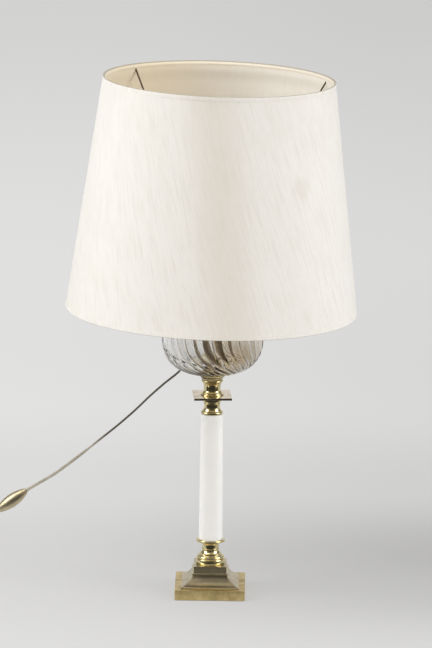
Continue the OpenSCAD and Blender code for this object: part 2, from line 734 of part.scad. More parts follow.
module glass_font() {
  rib_steps = 4;
  around = rib_count * rib_steps;
  a = font_d / 2;
  funnel_z = font_z + font_foot_h + font_funnel_h;
  foot_angle = acos(pow(font_funnel_d / 2 * 1.22 / a, font_full / 2));
  neck_angle = acos(pow(neck_r / a, font_full / 2));
  foot_r = font_foot_d / 2;
  funnel = bow([foot_r, font_z + font_foot_h], [font_funnel_d / 2, funnel_z], -0.5, 3);
  // Outline of the outside, from the peg up to the rim, as radius and height
  outside = concat(
    [[peg_r, socket_z + cement_h], [peg_r, font_z], [foot_r, font_z],
     [foot_r, font_z + font_foot_h]],
    funnel, [[font_funnel_d / 2, funnel_z]],
    [for (i = [10:-1:1]) let (t = foot_angle * i / 10)
      [shell_r(t, a), font_waist_z - shell_z(t, font_low_h)]],
    [[a, font_waist_z]],
    [for (i = [1:6]) let (t = neck_angle * i / 6)
      [shell_r(t, a), font_waist_z + shell_z(t, font_high_h)]],
    [[neck_r, rim_z]]);
  // Outline of the inside, from the rim down to the bottom, as radius and height
  ai = a - font_wall;
  bore = neck_r - font_wall;
  bore_angle = acos(pow(bore / ai, font_full / 2));
  inside = concat(
    [[bore, rim_z]],
    [for (i = [5:-1:1]) let (t = bore_angle * i / 5)
      [shell_r(t, ai), font_waist_z + shell_z(t, font_high_h - font_wall)]],
    [[ai, font_waist_z]],
    [for (i = [1:6]) let (t = 82 * i / 6)
      [shell_r(t, ai), font_waist_z - shell_z(t, font_low_h - font_wall)]]);
  n_out = len(outside);
  n_in = len(inside);
  outer_points = [for (row = outside) for (k = [0:around - 1])
    let (turn = swirl(row.y) + 360 * k / around - 90,
         r = row.x - groove(row.y, row.x) * (1 - abs(sin(180 * k / rib_steps))))
    [r * cos(turn), r * sin(turn), row.y]];
  inner_points = [for (row = inside) for (k = [0:rib_count - 1])
    let (turn = swirl(rim_z) + 360 * k / rib_count - 90)
    [row.x * cos(turn), row.x * sin(turn), row.y]];
  first_in = n_out * around;
  foot_centre = first_in + n_in * rib_count;
  bottom_centre = foot_centre + 1;
  rim_row = (n_out - 1) * around;
  outer_walls = [for (j = [0:n_out - 2]) for (k = [0:around - 1])
    let (p = j * around + k, q = j * around + (k + 1) % around)
    each [[p, p + around, q], [q, p + around, q + around]]];
  inner_walls = [for (j = [0:n_in - 2]) for (k = [0:rib_count - 1])
    let (p = first_in + j * rib_count + k, q = first_in + j * rib_count + (k + 1) % rib_count)
    each [[p, p + rib_count, q], [q, p + rib_count, q + rib_count]]];
  // The rim joins each inner point to the rib's outer points, then closes the step
  rim = [for (k = [0:rib_count - 1])
    let (p = first_in + k, q = first_in + (k + 1) % rib_count)
    each concat(
      [for (m = [0:rib_steps - 1])
        let (o = rim_row + k * rib_steps + m, o2 = rim_row + (k * rib_steps + m + 1) % around)
        [o, p, o2]],
      [[p, q, rim_row + (k * rib_steps + rib_steps) % around]])];
  foot_cap = [for (k = [0:around - 1]) [foot_centre, k, (k + 1) % around]];
  last_in = first_in + (n_in - 1) * rib_count;
  bottom_cap = [for (k = [0:rib_count - 1])
    [last_in + k, bottom_centre, last_in + (k + 1) % rib_count]];
  color([0.86, 0.90, 0.90, 0.5]) polyhedron(
    concat(outer_points, inner_points,
      [[0, 0, socket_z + cement_h], [0, 0, font_waist_z - font_low_h + font_wall]]),
    concat(outer_walls, rim, inner_walls, foot_cap, bottom_cap));
}

// Cement that fills the socket round and under the glass peg
module font_cement() {
  color([0.85, 0.82, 0.74]) translate([0, 0, socket_z]) difference() {
    cylinder(r = socket_r, h = socket_h);
    translate([0, 0, cement_h]) cylinder(r = peg_r, h = socket_h);
    translate([0, 0, -cut]) cylinder(r = rod_bore_d / 2, h = cut + cement_h / 2);
  }
}

module font_collar() {
  foot_z = neck_foot_z + 1;
  color([0.80, 0.64, 0.28]) difference() {
    union() {
      translate([0, 0, foot_z]) cylinder(r = collar_out_r, h = collar_top_z - foot_z);
      translate([0, 0, foot_z]) cylinder(r = collar_out_r + 0.8, h = 1.6);
    }
    translate([0, 0, foot_z - cut]) cylinder(r = collar_in_r, h = rim_z + collar_gap - foot_z + cut);
    translate([0, 0, foot_z - cut])
      cylinder(r = collar_bore_d / 2, h = collar_top_z - foot_z + 2 * cut);
  }
}

// Burner

module burner_base() {
  color([0.76, 0.60, 0.26]) difference() {
    union() {
      translate([0, 0, collar_top_z]) cylinder(d = burner_plate_d, h = burner_plate_h);
      translate([0, 0, collar_top_z - spigot_h]) cylinder(r = spigot_r, h = spigot_h + 1);
    }
    translate([0, 0, collar_top_z - spigot_h - cut])
      cylinder(r = wick_r + seat, h = spigot_h + burner_plate_h + 2 * cut);
    translate([0, 0, collar_top_z - spigot_h - cut])
      cylinder(r = spigot_r - 1.6, h = spigot_h - 1 + cut);
  }
}

module wick_tube() {
  color([0.55, 0.42, 0.20]) translate([0, 0, collar_top_z - wick_tube_drop])
    tube(wick_r, wick_r - wick_tube_wall, wick_top_z - seat - collar_top_z + wick_tube_drop);
}

// Perforated drum with a flat top, holed for the air and for the wick shaft
module burner_gallery() {
  hole_step = 360 / gallery_holes;
  color([0.76, 0.60, 0.26]) difference() {
    translate([0, 0, plate_top_z]) cylinder(r = gallery_r, h = gallery_h);
    translate([0, 0, plate_top_z - cut])
      cylinder(r = gallery_r - gallery_wall, h = gallery_h - gallery_wall + cut);
    for (i = [1:gallery_holes - 1])
      rotate(i * hole_step) translate([gallery_r - 3, 0, wick_shaft_z]) rotate([0, 90, 0])
        cylinder(d = gallery_hole_d, h = 6);
    translate([gallery_r - 3, 0, wick_shaft_z]) rotate([0, 90, 0])
      cylinder(r = wick_shaft_d / 2 + shaft_gap, h = 6);
    translate([0, 0, gallery_top_z - 2 * gallery_wall]) cylinder(d = wick_tube_d / 2, h = 6);
  }
}

module wick_shaft() {
  color("darkgoldenrod") translate([wick_r + 0.4, 0, wick_shaft_z]) rotate([0, 90, 0])
    cylinder(d = wick_shaft_d, h = knob_x + 1 - wick_r - 0.4);
}

module wick_knob() {
  color([0.83, 0.68, 0.30]) translate([knob_x, 0, wick_shaft_z]) rotate([0, 90, 0])
    difference() {
      cylinder(d = knob_d, h = knob_h);
      translate([0, 0, -cut]) cylinder(d = wick_shaft_d, h = cut + 1);
      for (i = [0:knob_grooves - 1]) rotate(i * 360 / knob_grooves)
        translate([knob_d / 2 + 0.3, 0, -cut]) cylinder(r = 0.8, h = knob_h + 2 * cut, $fn = 24);
    }
}

// Adaptor and lamp holder

// Domed cap over the gallery, drilled for the cord bush and the nipple
module adaptor_cap() {
  r = adaptor_d / 2;
  neck = [adaptor_top_d / 2, adaptor_top_z];
  shoulder = [r, adaptor_z + adaptor_foot_h];
  w = adaptor_wall;
  color([0.80, 0.64, 0.28]) difference() {
    rotate_extrude() polygon(concat(
      [[r - w, adaptor_z], [r, adaptor_z], shoulder], bow(shoulder, neck, 1.4), [neck],
      [[nipple_d / 2 + seat, adaptor_top_z], [nipple_d / 2 + seat, adaptor_top_z - w - 1]],
      bow([nipple_d / 2 + seat, adaptor_top_z - w - 1],
          [r - w, adaptor_z + adaptor_foot_h - 1], -1.2, 4),
      [[r - w, adaptor_z + adaptor_foot_h - 1]]));
    translate([0, 0, outlet_z]) rotate([0, 90, outlet_turn])
      cylinder(r = bush_r + seat, h = adaptor_d);
  }
}

// Flanged bush, set in the adaptor's side, through which the cord leaves
module cord_bush() {
  start = adaptor_d / 2 - adaptor_wall - 1;
  color([0.18, 0.15, 0.12]) translate([0, 0, outlet_z]) rotate([0, 90, outlet_turn])
    difference() {
      union() {
        translate([0, 0, start]) cylinder(r = bush_r, h = adaptor_wall + 2);
        translate([0, 0, adaptor_d / 2 + seat])
          cylinder(d1 = bush_d, d2 = 2 * bush_r, h = bush_out - seat);
      }
      translate([0, 0, start - cut]) cylinder(r = cord_d / 2 + seat, h = adaptor_d);
    }
}

module holder_nipple() {
  color("silver") translate([0, 0, nipple_foot_z])
    tube(nipple_d / 2, nipple_bore_d / 2, nipple_head_z - nipple_foot_z);
}

module holder_cap() {
  foot_r = holder_d / 2 - 4;
  low = [foot_r, holder_z];
  high = [holder_d / 2, holder_z + holder_cap_h * 0.6];
  w = holder_wall;
  color([0.80, 0.64, 0.28]) rotate_extrude() polygon(concat(
    [[nipple_d / 2 + seat, holder_z], low], bow(low, high, 1.2), [high],
    [[holder_d / 2, shell_z], [holder_d / 2 - w, shell_z],
     [holder_d / 2 - w, holder_z + holder_cap_h * 0.6], [foot_r - 0.6, holder_z + w],
     [nipple_d / 2 + seat, holder_z + w]]));
}

// Body and threaded skirt; the thread is a row of shallow ridges
module holder_shell() {
  pitch = 3;
  ridges = floor(skirt_h / pitch);
  color([0.20, 0.17, 0.14]) difference() {
    union() {
      translate([0, 0, shell_z]) cylinder(d = holder_d, h = holder_body_h);
      translate([0, 0, skirt_z]) cylinder(r = thread_r, h = skirt_h);
    }
    translate([0, 0, shell_z - cut])
      cylinder(r = bore_d_half, h = holder_body_h + skirt_h + 2 * cut);
    for (i = [0:ridges - 1]) translate([0, 0, skirt_z + (i + 0.5) * pitch])
      rotate_extrude() polygon([[thread_r + 0.1, -0.7], [thread_r + 0.1, 0.7], [thread_r - 0.5, 0]]);
  }
}

module holder_core() {
  color([0.92, 0.90, 0.84]) translate([0, 0, shell_z]) difference() {
    cylinder(r = bore_d_half - seat, h = core_h);
    for (x = [-7, 7]) translate([x, 0, -cut]) cylinder(d = 3, h = core_h + 2 * cut);
  }
}

module holder_contact() {
  color("gold") translate([0, 0, contact_z]) cylinder(d = 8, h = contact_h);
}

// Flat nut with finger notches; two of them clamp the carrier ring
module shade_nut(z) {
  color([0.20, 0.17, 0.14]) translate([0, 0, z]) difference() {
    cylinder(d = shade_nut_d, h = shade_nut_h);
    translate([0, 0, -cut]) cylinder(r = thread_r + seat, h = shade_nut_h + 2 * cut);
    for (i = [0:11]) rotate(i * 30) translate([shade_nut_d / 2 + 1, 0, -cut])
      cylinder(r = 2, h = shade_nut_h + 2 * cut, $fn = 24);
  }
}

module shade_nut_lower() {
  shade_nut(ring_z - shade_nut_h);
}

module shade_nut_upper() {
  shade_nut(ring_z + carrier_ring_h + 2 * seat);
}

// Bulb

// Hollow screw cap with a domed insulator and a button contact
module bulb_cap() {
  r = bulb_cap_d / 2;
  foot_h = 5;
  wall = 0.8;
  color([0.80, 0.74, 0.50]) translate([0, 0, bulb_z]) rotate_extrude() polygon(
    [[0, 0], [4.5, 0], [5.5, 1.5], [9, 2.5], [r, foot_h], [r, bulb_cap_h],
     [r - wall, bulb_cap_h], [r - wall, foot_h + wall], [0, foot_h - wall]]);
}

// Outline of the bulb's glass set in by t: a round head drawn in to the cap by a hollow curve
function pear(t) =
  let (r = bulb_d / 2 - t, neck_r = bulb_cap_d / 2 - 0.9 - t, drop = 32,
       head_z = bulb_glass_z + bulb_h - bulb_d / 2, neck = [neck_r, bulb_glass_z + 3],
       side = [r * cos(drop), head_z - r * sin(drop)])
  concat([[neck_r, bulb_glass_z - 2], neck], bow(neck, side, -1.5),
    [for (i = [0:12]) let (a = -drop + (90 + drop) * i / 12)
      [i == 12 ? 0 : r * cos(a), head_z + r * sin(a)]]);

module bulb_glass() {
  shell = pear(bulb_wall);
  color([0.96, 0.96, 0.94]) rotate_extrude() polygon(concat(
    pear(0), [for (i = [len(shell) - 1:-1:0]) shell[i]]));
}

// Shade carrier

// Radius of the shade's outer face at height z, in its upright frame
function cone_r(z) = bottom_r + (top_r - bottom_r) * (z - shade_z) / shade_h;
// Radius of a rim wire's centre line, just inside the lining
function wire_path_r(z) = cone_r(z) - skin_t - hem_t - wire_r - seat;

module carrier_ring() {
  color([0.35, 0.27, 0.18]) translate([0, 0, ring_z + seat])
    tube(carrier_ring_d / 2, thread_r + ring_gap, carrier_ring_h);
}

// Straight thin rod from the top wire down to the centre ring
module carrier_arm(i) {
  a = arm_turn + i * 360 / arm_count;
  low_r = carrier_ring_d / 2 + arm_d / 2 + seat;
  low = [low_r * cos(a), low_r * sin(a), ring_z + seat + carrier_ring_h / 2];
  run = wire_path_r(top_wire_z) - low_r;
  reach = norm([run, top_wire_z - low.z]);
  back = wire_r + seat;
  high_r = low_r + run * (1 - back / reach);
  high_z = low.z + (top_wire_z - low.z) * (1 - back / reach);
  high = lean_point([high_r * cos(a), high_r * sin(a), high_z]);
  color([0.35, 0.27, 0.18]) rod(low, high, arm_d);
}

module carrier_arm_right() {
  carrier_arm(0);
}

module carrier_arm_left() {
  carrier_arm(1);
}

module carrier_arm_front() {
  carrier_arm(2);
}

// Shade

module rim_wire(z) {
  color([0.45, 0.42, 0.36]) leaned() translate([0, 0, z])
    rotate_extrude() translate([wire_path_r(z), 0]) circle(r = wire_r, $fn = 24);
}

module shade_top_ring() {
  rim_wire(top_wire_z);
}

module shade_bottom_ring() {
  rim_wire(bottom_wire_z);
}

// Coned sheet whose outer face lies inset by d from the shade's outer face
module coned_sheet(d, t, z0, z1) {
  leaned() rotate_extrude() polygon(
    [[cone_r(z0) - d, z0], [cone_r(z1) - d, z1],
     [cone_r(z1) - d - t, z1], [cone_r(z0) - d - t, z0]]);
}

module shade_cover() {
  color([0.95, 0.94, 0.90]) coned_sheet(0, cover_t, shade_z + hem_t, shade_top_z - hem_t);
}

module shade_lining() {
  color([0.86, 0.80, 0.68]) coned_sheet(cover_t, lining_t, shade_z + hem_t, shade_top_z - hem_t);
}

// Folded hem: one band outside, one inside, joined over the edge of the shade
module hem(edge_z, way) {
  far_z = edge_z + way * hem_h;
  sheet_z = edge_z + way * hem_t;
  leaned() rotate_extrude() polygon(
    [[cone_r(edge_z) + hem_t, edge_z], [cone_r(far_z) + hem_t, far_z], [cone_r(far_z), far_z],
     [cone_r(sheet_z), sheet_z], [cone_r(sheet_z) - skin_t, sheet_z],
     [cone_r(far_z) - skin_t, far_z], [cone_r(far_z) - skin_t - hem_t, far_z],
     [cone_r(edge_z) - skin_t - hem_t, edge_z]]);
}

module shade_hem_top() {
  color([0.93, 0.90, 0.83]) hem(shade_top_z, -1);
}

module shade_hem_bottom() {
  color([0.93, 0.90, 0.83]) hem(shade_z, 1);
}

// Cord, switch and plug

// The reference directions are never along the routes
module cord_lamp_side() {
  color([0.45, 0.40, 0.33])
    swept_tube(smooth_route(lamp_side_route, 2), cord_d / 2, cord_sides, [1, -0.3, -0.9]);
}

module cord_floor_side() {
  color([0.70, 0.64, 0.52])
    swept_tube(smooth_route(floor_side_route, 2), cord_d / 2, cord_sides, [0, 0, 1]);
}

module cord_plug_tail() {
  color([0.70, 0.64, 0.52])
    swept_tube(smooth_route(plug_tail_route, 2), cord_d / 2, cord_sides, [0, 0, 1]);
}

// Sideways place of the coil at turn t, as steps of one pitch in from the outside:
// it winds in over one layer and out over the next
function coil_in(t) =
  let (f = t / layer_turns, k = floor(f), u = f - k) (k % 2 == 0 ? u : 1 - u) * layer_turns;
// Layer of the coil at turn t: it climbs one layer in the half turn round each reversal
function coil_layer(t) =
  let (f = [for (k = [1:coil_layers - 1]) max(0, min(1, (t - k * layer_turns + 0.25) / 0.5))])
  f * [for (k = [1:coil_layers - 1]) 1];
function coil_point(t) =
  let (r = coil_out_r - coil_in(t) * coil_pitch, a = 360 * t - 90)
  [coil_at.x + r * cos(a), coil_at.y + r * sin(a), flat_r + coil_layer(t) * coil_pitch];

module cord_coil() {
  turns = [for (i = [1:coil_turns * coil_steps - 1]) coil_point(i / coil_steps)];
  route = concat([coil_start - [cord_d, 0, 0], coil_start], turns,
    [coil_end, coil_end - [cord_d, 0, 0]]);
  // Least free space from any point of the coil to any turn at least half a turn away
  apart = min([for (i = [0:len(turns) - 1]) for (j = [i + coil_steps / 2:len(turns) - 1])
    norm(turns[i] - turns[j])]);
  echo(str("least gap of the coil to itself: ", apart - cord_d, " mm"));
  color([0.70, 0.64, 0.52]) swept_tube(route, cord_d / 2, coil_sides, [0, 0, 1]);
}

// Brings a piece from the switch's own frame, axis along X, to its place in the cord
module switch_place() {
  translate(switch_at) rotate([0, -switch_slope, 0]) rotate([-switch_roll, 0, 0]) children();
}

// Olive body of revolution, axis along X
module olive() {
  half = switch_l / 2;
  end_r = switch_end_d / 2;
  swell = switch_d / 2 - end_r;
  steps = 20;
  olive_full = 2.1;
  rotate([0, 90, 0]) rotate_extrude() polygon(concat(
    [[0, -half]],
    [for (i = [0:steps]) let (u = -1 + 2 * i / steps)
      [end_r + swell * (1 - pow(abs(u), olive_full)), u * half]],
    [[0, half]]));
}

module switch_case_front() {
  color([0.80, 0.66, 0.32]) switch_place() intersection() {
    olive();
    translate([-switch_l, -switch_d, -switch_d]) cube([2 * switch_l, switch_d, 2 * switch_d]);
  }
}

// Back half, with the rocker's slot, its trunnion bore and the screws' holes
module switch_case_back() {
  slot_l = rocker_l + 2 * rocker_gap;
  slot_w = rocker_w + 2 * rocker_gap;
  color([0.80, 0.66, 0.32]) switch_place() difference() {
    intersection() {
      olive();
      translate([-switch_l, 0, -switch_d]) cube([2 * switch_l, switch_d, 2 * switch_d]);
    }
    translate([-slot_l / 2, 1, -slot_w / 2]) cube([slot_l, switch_d, slot_w]);
    translate([0, pivot_y, -slot_w / 2 - 1.2])
      cylinder(r = trunnion_d / 2 + trunnion_gap, h = slot_w + 2.4);
    for (x = [-screw_x, screw_x]) translate([x, screw_seat_y, 0]) rotate([-90, 0, 0])
      cylinder(d = screw_head_d + 0.4, h = switch_d);
    for (x = [-screw_x, screw_x]) translate([x, -cut, 0]) rotate([-90, 0, 0])
      cylinder(d = 1.9, h = switch_d);
  }
}

module switch_screws() {
  color("silver") switch_place() for (x = [-screw_x, screw_x])
    translate([x, screw_seat_y, 0]) rotate([-90, 0, 0]) difference() {
      union() {
        cylinder(d = screw_head_d, h = 1.2);
        translate([0, 0, -screw_seat_y]) cylinder(d = 1.6, h = screw_seat_y + 0.5);
      }
      translate([-screw_head_d, -0.3, 0.7]) cube([2 * screw_head_d, 0.6, 2]);
    }
}

// Rocker with leaning ends and a dished face, on two trunnions, tilted to its off side
module switch_rocker() {
  half = rocker_l / 2;
  foot = [half * 0.8, -0.8];
  heel = [half, 0.6];
  tip = [half - 1.1, switch_d / 2 - pivot_y + 0.9];
  color([0.86, 0.80, 0.62]) switch_place() translate([0, pivot_y, 0]) rotate(-rocker_tilt) {
    translate([0, 0, -rocker_w / 2]) linear_extrude(rocker_w) polygon(concat(
      [[-foot.x, foot.y], foot, heel, tip], bow(tip, [-tip.x, tip.y], -0.9, 8),
      [[-tip.x, tip.y], [-heel.x, heel.y]]));
    translate([0, 0, -rocker_w / 2 - rocker_gap - 1])
      cylinder(d = trunnion_d, h = rocker_w + 2 * rocker_gap + 2);
  }
}

// Flat plug body, drawn in towards the cord
module plug_body() {
  y0 = plug_tail_route[len(plug_tail_route) - 1].y;
  neck_w = 12;
  color([0.62, 0.55, 0.42]) translate([plug_x, y0, 0]) difference() {
    linear_extrude(plug_t) polygon(
      [[0, -neck_w / 2], [0, neck_w / 2], [-10, plug_w / 2 - 3], [-14, plug_w / 2],
       [-plug_l, plug_w / 2], [-plug_l, -plug_w / 2], [-14, -plug_w / 2], [-10, -plug_w / 2 + 3]]);
    for (y = [-pin_pitch / 2, pin_pitch / 2]) translate([-plug_l - cut, y, plug_z])
      rotate([0, 90, 0]) cylinder(d = pin_d, h = cut + 6);
  }
}

module plug_pins() {
  y0 = plug_tail_route[len(plug_tail_route) - 1].y;
  color("silver") for (y = [-pin_pitch / 2, pin_pitch / 2])
    translate([plug_x - plug_l - pin_l, y0 + y, plug_z]) rotate([0, 90, 0])
      cylinder(d = pin_d, h = pin_l + 6);
}

base_felt();
base_plinth();
base_riser();
tie_washer();
tie_nut();
tie_rod();
column_foot();
column_shaft();
capital_turning();
abacus_plate();
vase_turning();
font_cement();
glass_font();
font_collar();
burner_base();
wick_tube();
burner_gallery();
wick_shaft();
wick_knob();
adaptor_cap();
cord_bush();
holder_nipple();
holder_cap();
holder_shell();
holder_core();
holder_contact();
shade_nut_lower();
shade_nut_upper();
bulb_cap();
bulb_glass();
carrier_ring();
carrier_arm_right();
carrier_arm_left();
carrier_arm_front();
shade_top_ring();
shade_bottom_ring();
shade_cover();
shade_lining();
shade_hem_top();
shade_hem_bottom();
cord_lamp_side();
switch_case_front();
switch_case_back();
switch_screws();
switch_rocker();
cord_floor_side();
cord_coil();
cord_plug_tail();
plug_body();
plug_pins();
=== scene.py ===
# %% [markdown]
# # An electrified column oil lamp
# The lamp is a stack on one threaded rod: a square stepped base, a turned brass foot, a white
# stone shaft, a brass capital, a glass font with swirled ribs, a burner that now only carries an
# electric holder, and a coned fabric shade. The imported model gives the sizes. This notebook
# dresses it: new surfaces where the light should find rounded edges, and a material for each part.

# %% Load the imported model
import bpy
import numpy as np
from mathutils import Matrix, Vector


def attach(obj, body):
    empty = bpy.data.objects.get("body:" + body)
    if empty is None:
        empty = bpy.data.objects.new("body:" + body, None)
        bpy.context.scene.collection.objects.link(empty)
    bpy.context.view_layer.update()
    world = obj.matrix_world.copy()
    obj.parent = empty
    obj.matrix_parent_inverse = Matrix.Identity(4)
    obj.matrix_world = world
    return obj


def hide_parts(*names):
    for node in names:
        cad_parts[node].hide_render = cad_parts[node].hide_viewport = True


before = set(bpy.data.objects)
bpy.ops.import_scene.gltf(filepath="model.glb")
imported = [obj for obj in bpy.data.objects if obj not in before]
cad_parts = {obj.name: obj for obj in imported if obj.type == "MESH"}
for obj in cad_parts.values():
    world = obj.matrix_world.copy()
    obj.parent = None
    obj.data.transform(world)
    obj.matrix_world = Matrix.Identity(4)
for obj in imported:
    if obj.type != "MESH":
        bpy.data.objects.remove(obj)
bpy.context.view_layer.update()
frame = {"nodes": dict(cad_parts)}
MM = 0.001
TAU = 2 * np.pi

# %% [markdown]
# ## Grids
# Nearly every part of a lamp is turned or drawn along a line, so it can be worked out as a grid
# of points: rows along the outline, columns round the axis. One array then holds the whole
# surface. Modelling by hand would need hundreds of loops placed by eye.

# %% Surfaces from grids of points
def quads_of(rows, cols, wrap_rows, wrap_cols):
    """Rows and columns of the four corners of every cell of a grid, counted without wrapping."""
    i, j = np.meshgrid(np.arange(rows if wrap_rows else rows - 1),
                       np.arange(cols if wrap_cols else cols - 1), indexing="ij")
    return (np.stack([i, i, i + 1, i + 1], -1).reshape(-1, 4),
            np.stack([j, j + 1, j + 1, j], -1).reshape(-1, 4))


def unit(v):
    """The directions of vectors."""
    return v / np.linalg.norm(v, axis=-1, keepdims=True)


def lengths_along(points, closed=False):
    """Length of the way from the first point to each of them, and back to it if closed."""
    p = np.vstack([points, points[:1]]) if closed else points
    return np.concatenate([[0], np.cumsum(np.linalg.norm(np.diff(p, axis=0), axis=1))])


def rings(r, z, a):
    """Points r cos a, r sin a, z: rows along the outline, columns round the axis."""
    r, z, a = np.broadcast_arrays(r, z, a)
    return np.stack([r * np.cos(a), r * np.sin(a), z], -1)


def volume(points, faces):
    """Signed volume of a closed surface: the sum over its triangles of a . (b x c) / 6."""
    a, *others = points[faces.T]
    return sum((a * np.cross(b, c)).sum() for b, c in zip(others, others[1:])) / 6


def surface(name, grid, wrap_rows=False, wrap_cols=True, u=None, v=None, poles=()):
    """A mesh from a grid of points (rows, cols, 3). u and v are the lengths in metres along the
    columns and rows, for the UV map. poles are the points that close the first and last row."""
    rows, cols = grid.shape[:2]
    points = np.vstack([grid.reshape(-1, 3), *poles])
    ci, cj = quads_of(rows, cols, wrap_rows, wrap_cols)
    parts = [(ci % rows) * cols + cj % cols]
    j = np.arange(cols)
    for k in range(len(poles)):
        edge = np.stack([(j + 1 - k) % cols, (j + k) % cols], -1) + k * (rows - 1) * cols
        parts.append(np.column_stack([np.full(cols, rows * cols + k), edge]))
    if sum(volume(points, part) for part in parts) < 0:
        parts, ci, cj = [part[:, ::-1] for part in parts], ci[:, ::-1], cj[:, ::-1]
    mesh = bpy.data.meshes.new(name)
    mesh.from_pydata(points.tolist(), [], [face for part in parts for face in part.tolist()])
    mesh.polygons.foreach_set("use_smooth", np.ones(len(mesh.polygons), bool))
    if u is not None:
        uv = np.zeros((len(mesh.loops), 2))
        uv[:ci.size] = np.column_stack([u[cj.reshape(-1)], v[ci.reshape(-1)]])
        layer = mesh.uv_layers.new(name="along")
        layer.data.foreach_set("uv", uv.reshape(-1).astype(np.float32))
    mesh.update()
    obj = bpy.data.objects.new(name, mesh)
    bpy.context.scene.collection.objects.link(obj)
    return obj


def keep(obj, body, material, *nodes, slot=None):
    """Give a piece its material, its body and the CAD nodes that it stands for."""
    obj.data.materials.clear()
    obj.data.materials.append(material)
    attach(obj, body)
    if nodes:
        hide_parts(*nodes)


# %% [markdown]
# ## Outlines with eased corners
# A real edge is never a knife edge: it has a small round that catches a line of light. Each
# corner of an outline becomes an arc, with one more point just past each end of it, so that the
# flats beside it keep their flat shading.

# %% Easing the corners of an outline
def eased(outline, radius=0.5, steps=4, keep=()):
    """Each corner of a closed outline becomes a quadratic arc between the points at the given
    distance before and after it, at most a third of the way to its neighbours. A corner of
    less than 12 degrees is part of a curve and stays as it is."""
    p = np.asarray(outline, float)
    back, ahead = np.roll(p, 1, 0) - p, np.roll(p, -1, 0) - p
    lb, la = np.linalg.norm(back, axis=1), np.linalg.norm(ahead, axis=1)
    bend = np.degrees(np.arccos(np.clip(-(back * ahead).sum(1) / lb / la, -1, 1)))
    t = np.linspace(0, 1, steps + 1)[:, None]
    out = []
    for i in range(len(p)):
        if bend[i] < 12 or i in keep:
            out.append(p[i:i + 1])
            continue
        db, da = min(radius, lb[i] * 0.33), min(radius, la[i] * 0.33)
        ub, ua = back[i] / lb[i], ahead[i] / la[i]
        start, end = p[i] + ub * db, p[i] + ua * da
        arc = (1 - t) ** 2 * start + 2 * t * (1 - t) * p[i] + t ** 2 * end
        out += [(p[i] + ub * db * 1.3)[None], arc, (p[i] + ua * da * 1.3)[None]]
    return np.concatenate(out)


def bow(p, q, s, n=8):
    """Inner points of an arc from p to q whose middle stands s off the chord, to the right of
    the way from p to q. The circle's radius is (c^2 / 4 + s^2) / 2s for a chord c, and half
    a circle is the most that an arc can be."""
    p, q = np.asarray(p, float), np.asarray(q, float)
    c = np.linalg.norm(q - p)
    rise = min(abs(s), c / 2)
    r = (c * c / 4 + rise * rise) / (2 * rise)
    half = np.arcsin(min(1.0, c / 2 / r))
    u = (q - p) / c
    side = np.array([u[1], -u[0]]) * np.sign(s)
    centre = (p + q) / 2 - side * r * np.cos(half)
    a = np.linspace(-half, half, n + 1)[1:-1, None]
    return (centre + r * (side * np.cos(a) + u * np.sin(a))).tolist()


def profile(z0, start, *steps):
    """An outline of (radius, height over z0) points. A step with a third number ends an arc of
    that sag, and a fourth gives the arc's pieces."""
    way = [(start[0], z0 + start[1])]
    for r, h, *arc in steps:
        end = (r, z0 + h)
        if arc:
            way += bow(way[-1], end, *arc)
        way.append(end)
    return way


def lathe(name, outline, around=192):
    """Solid of revolution: every outline point (r, z) becomes the ring r cos a, r sin a, z."""
    o = np.asarray(outline) * MM
    a = np.arange(around) * TAU / around
    u = np.arange(around + 1) * TAU / around * o[:, 0].max()
    return surface(name, rings(o[:, :1], o[:, 1:], a), wrap_rows=True, u=u,
                   v=lengths_along(o, closed=True))


def square_ring(half, z, corner, steps=5):
    """Rings of rounded squares: a corner of the square, less the corner radius, plus a quarter
    circle of that radius, for each half width and height. One more point beside each end of an
    arc keeps the flats flat."""
    a = np.arange(4)[:, None] * np.pi / 2 + np.linspace(0, np.pi / 2, steps + 1)
    out, way = np.stack([np.cos(a), np.sin(a)], -1), np.stack([-np.sin(a), np.cos(a)], -1)
    h = np.asarray(half)[:, None, None, None]
    c = np.minimum(corner, h * 0.3)
    p = np.array([[1, 1], [-1, 1], [-1, -1], [1, -1]])[:, None] * (h - c) + c * out
    beside = 0.15 * way
    p = np.concatenate([p[:, :, :1] - beside[:, :1], p, p[:, :, -1:] + beside[:, -1:]], 2)
    p = p.reshape(len(h), -1, 2)
    z = np.broadcast_to(np.asarray(z)[:, None, None], (*p.shape[:2], 1))
    return np.concatenate([p, z], -1)


# %% [markdown]
# ## Camera
# The picture was taken from nearly five metres with a long lens, a little from above. The lens
# was found by fitting the plinth's corners, the column and both rims of the shade.

# %% Camera
view_distance = 4.900
view_up = np.radians(12.40)
view_side = np.radians(0.5)
view_roll = np.radians(0.62)
focal_px = 4082.3
target = Vector((0.00375, 0.0, 0.3333))
turn = Matrix.Rotation(view_side, 3, "Z")
place = target + turn @ Vector((0, -view_distance * np.cos(view_up),
                                view_distance * np.sin(view_up)))
ahead = turn @ Vector((0, np.cos(view_up), -np.sin(view_up)))
right = turn @ Vector((1, 0, 0))
up = right.cross(ahead)
right, up = (right * np.cos(view_roll) + up * np.sin(view_roll),
             up * np.cos(view_roll) - right * np.sin(view_roll))
camera_data = bpy.data.cameras.new("camera")
camera = bpy.data.objects.new("camera", camera_data)
bpy.context.scene.collection.objects.link(camera)
camera.matrix_world = Matrix.Translation(place) @ Matrix((right, up, -ahead)).transposed().to_4x4()
camera_data.sensor_fit = "VERTICAL"
sensor_height, picture_height_px = 24.0, 648
camera_data.sensor_height = sensor_height
camera_data.lens = focal_px / picture_height_px * sensor_height
camera_data.clip_end = 50
bpy.context.scene.camera = camera
bpy.context.scene.view_settings.view_transform = "Standard"
print("camera at", tuple(round(c, 3) for c in place), "lens", round(camera_data.lens, 1), "mm")

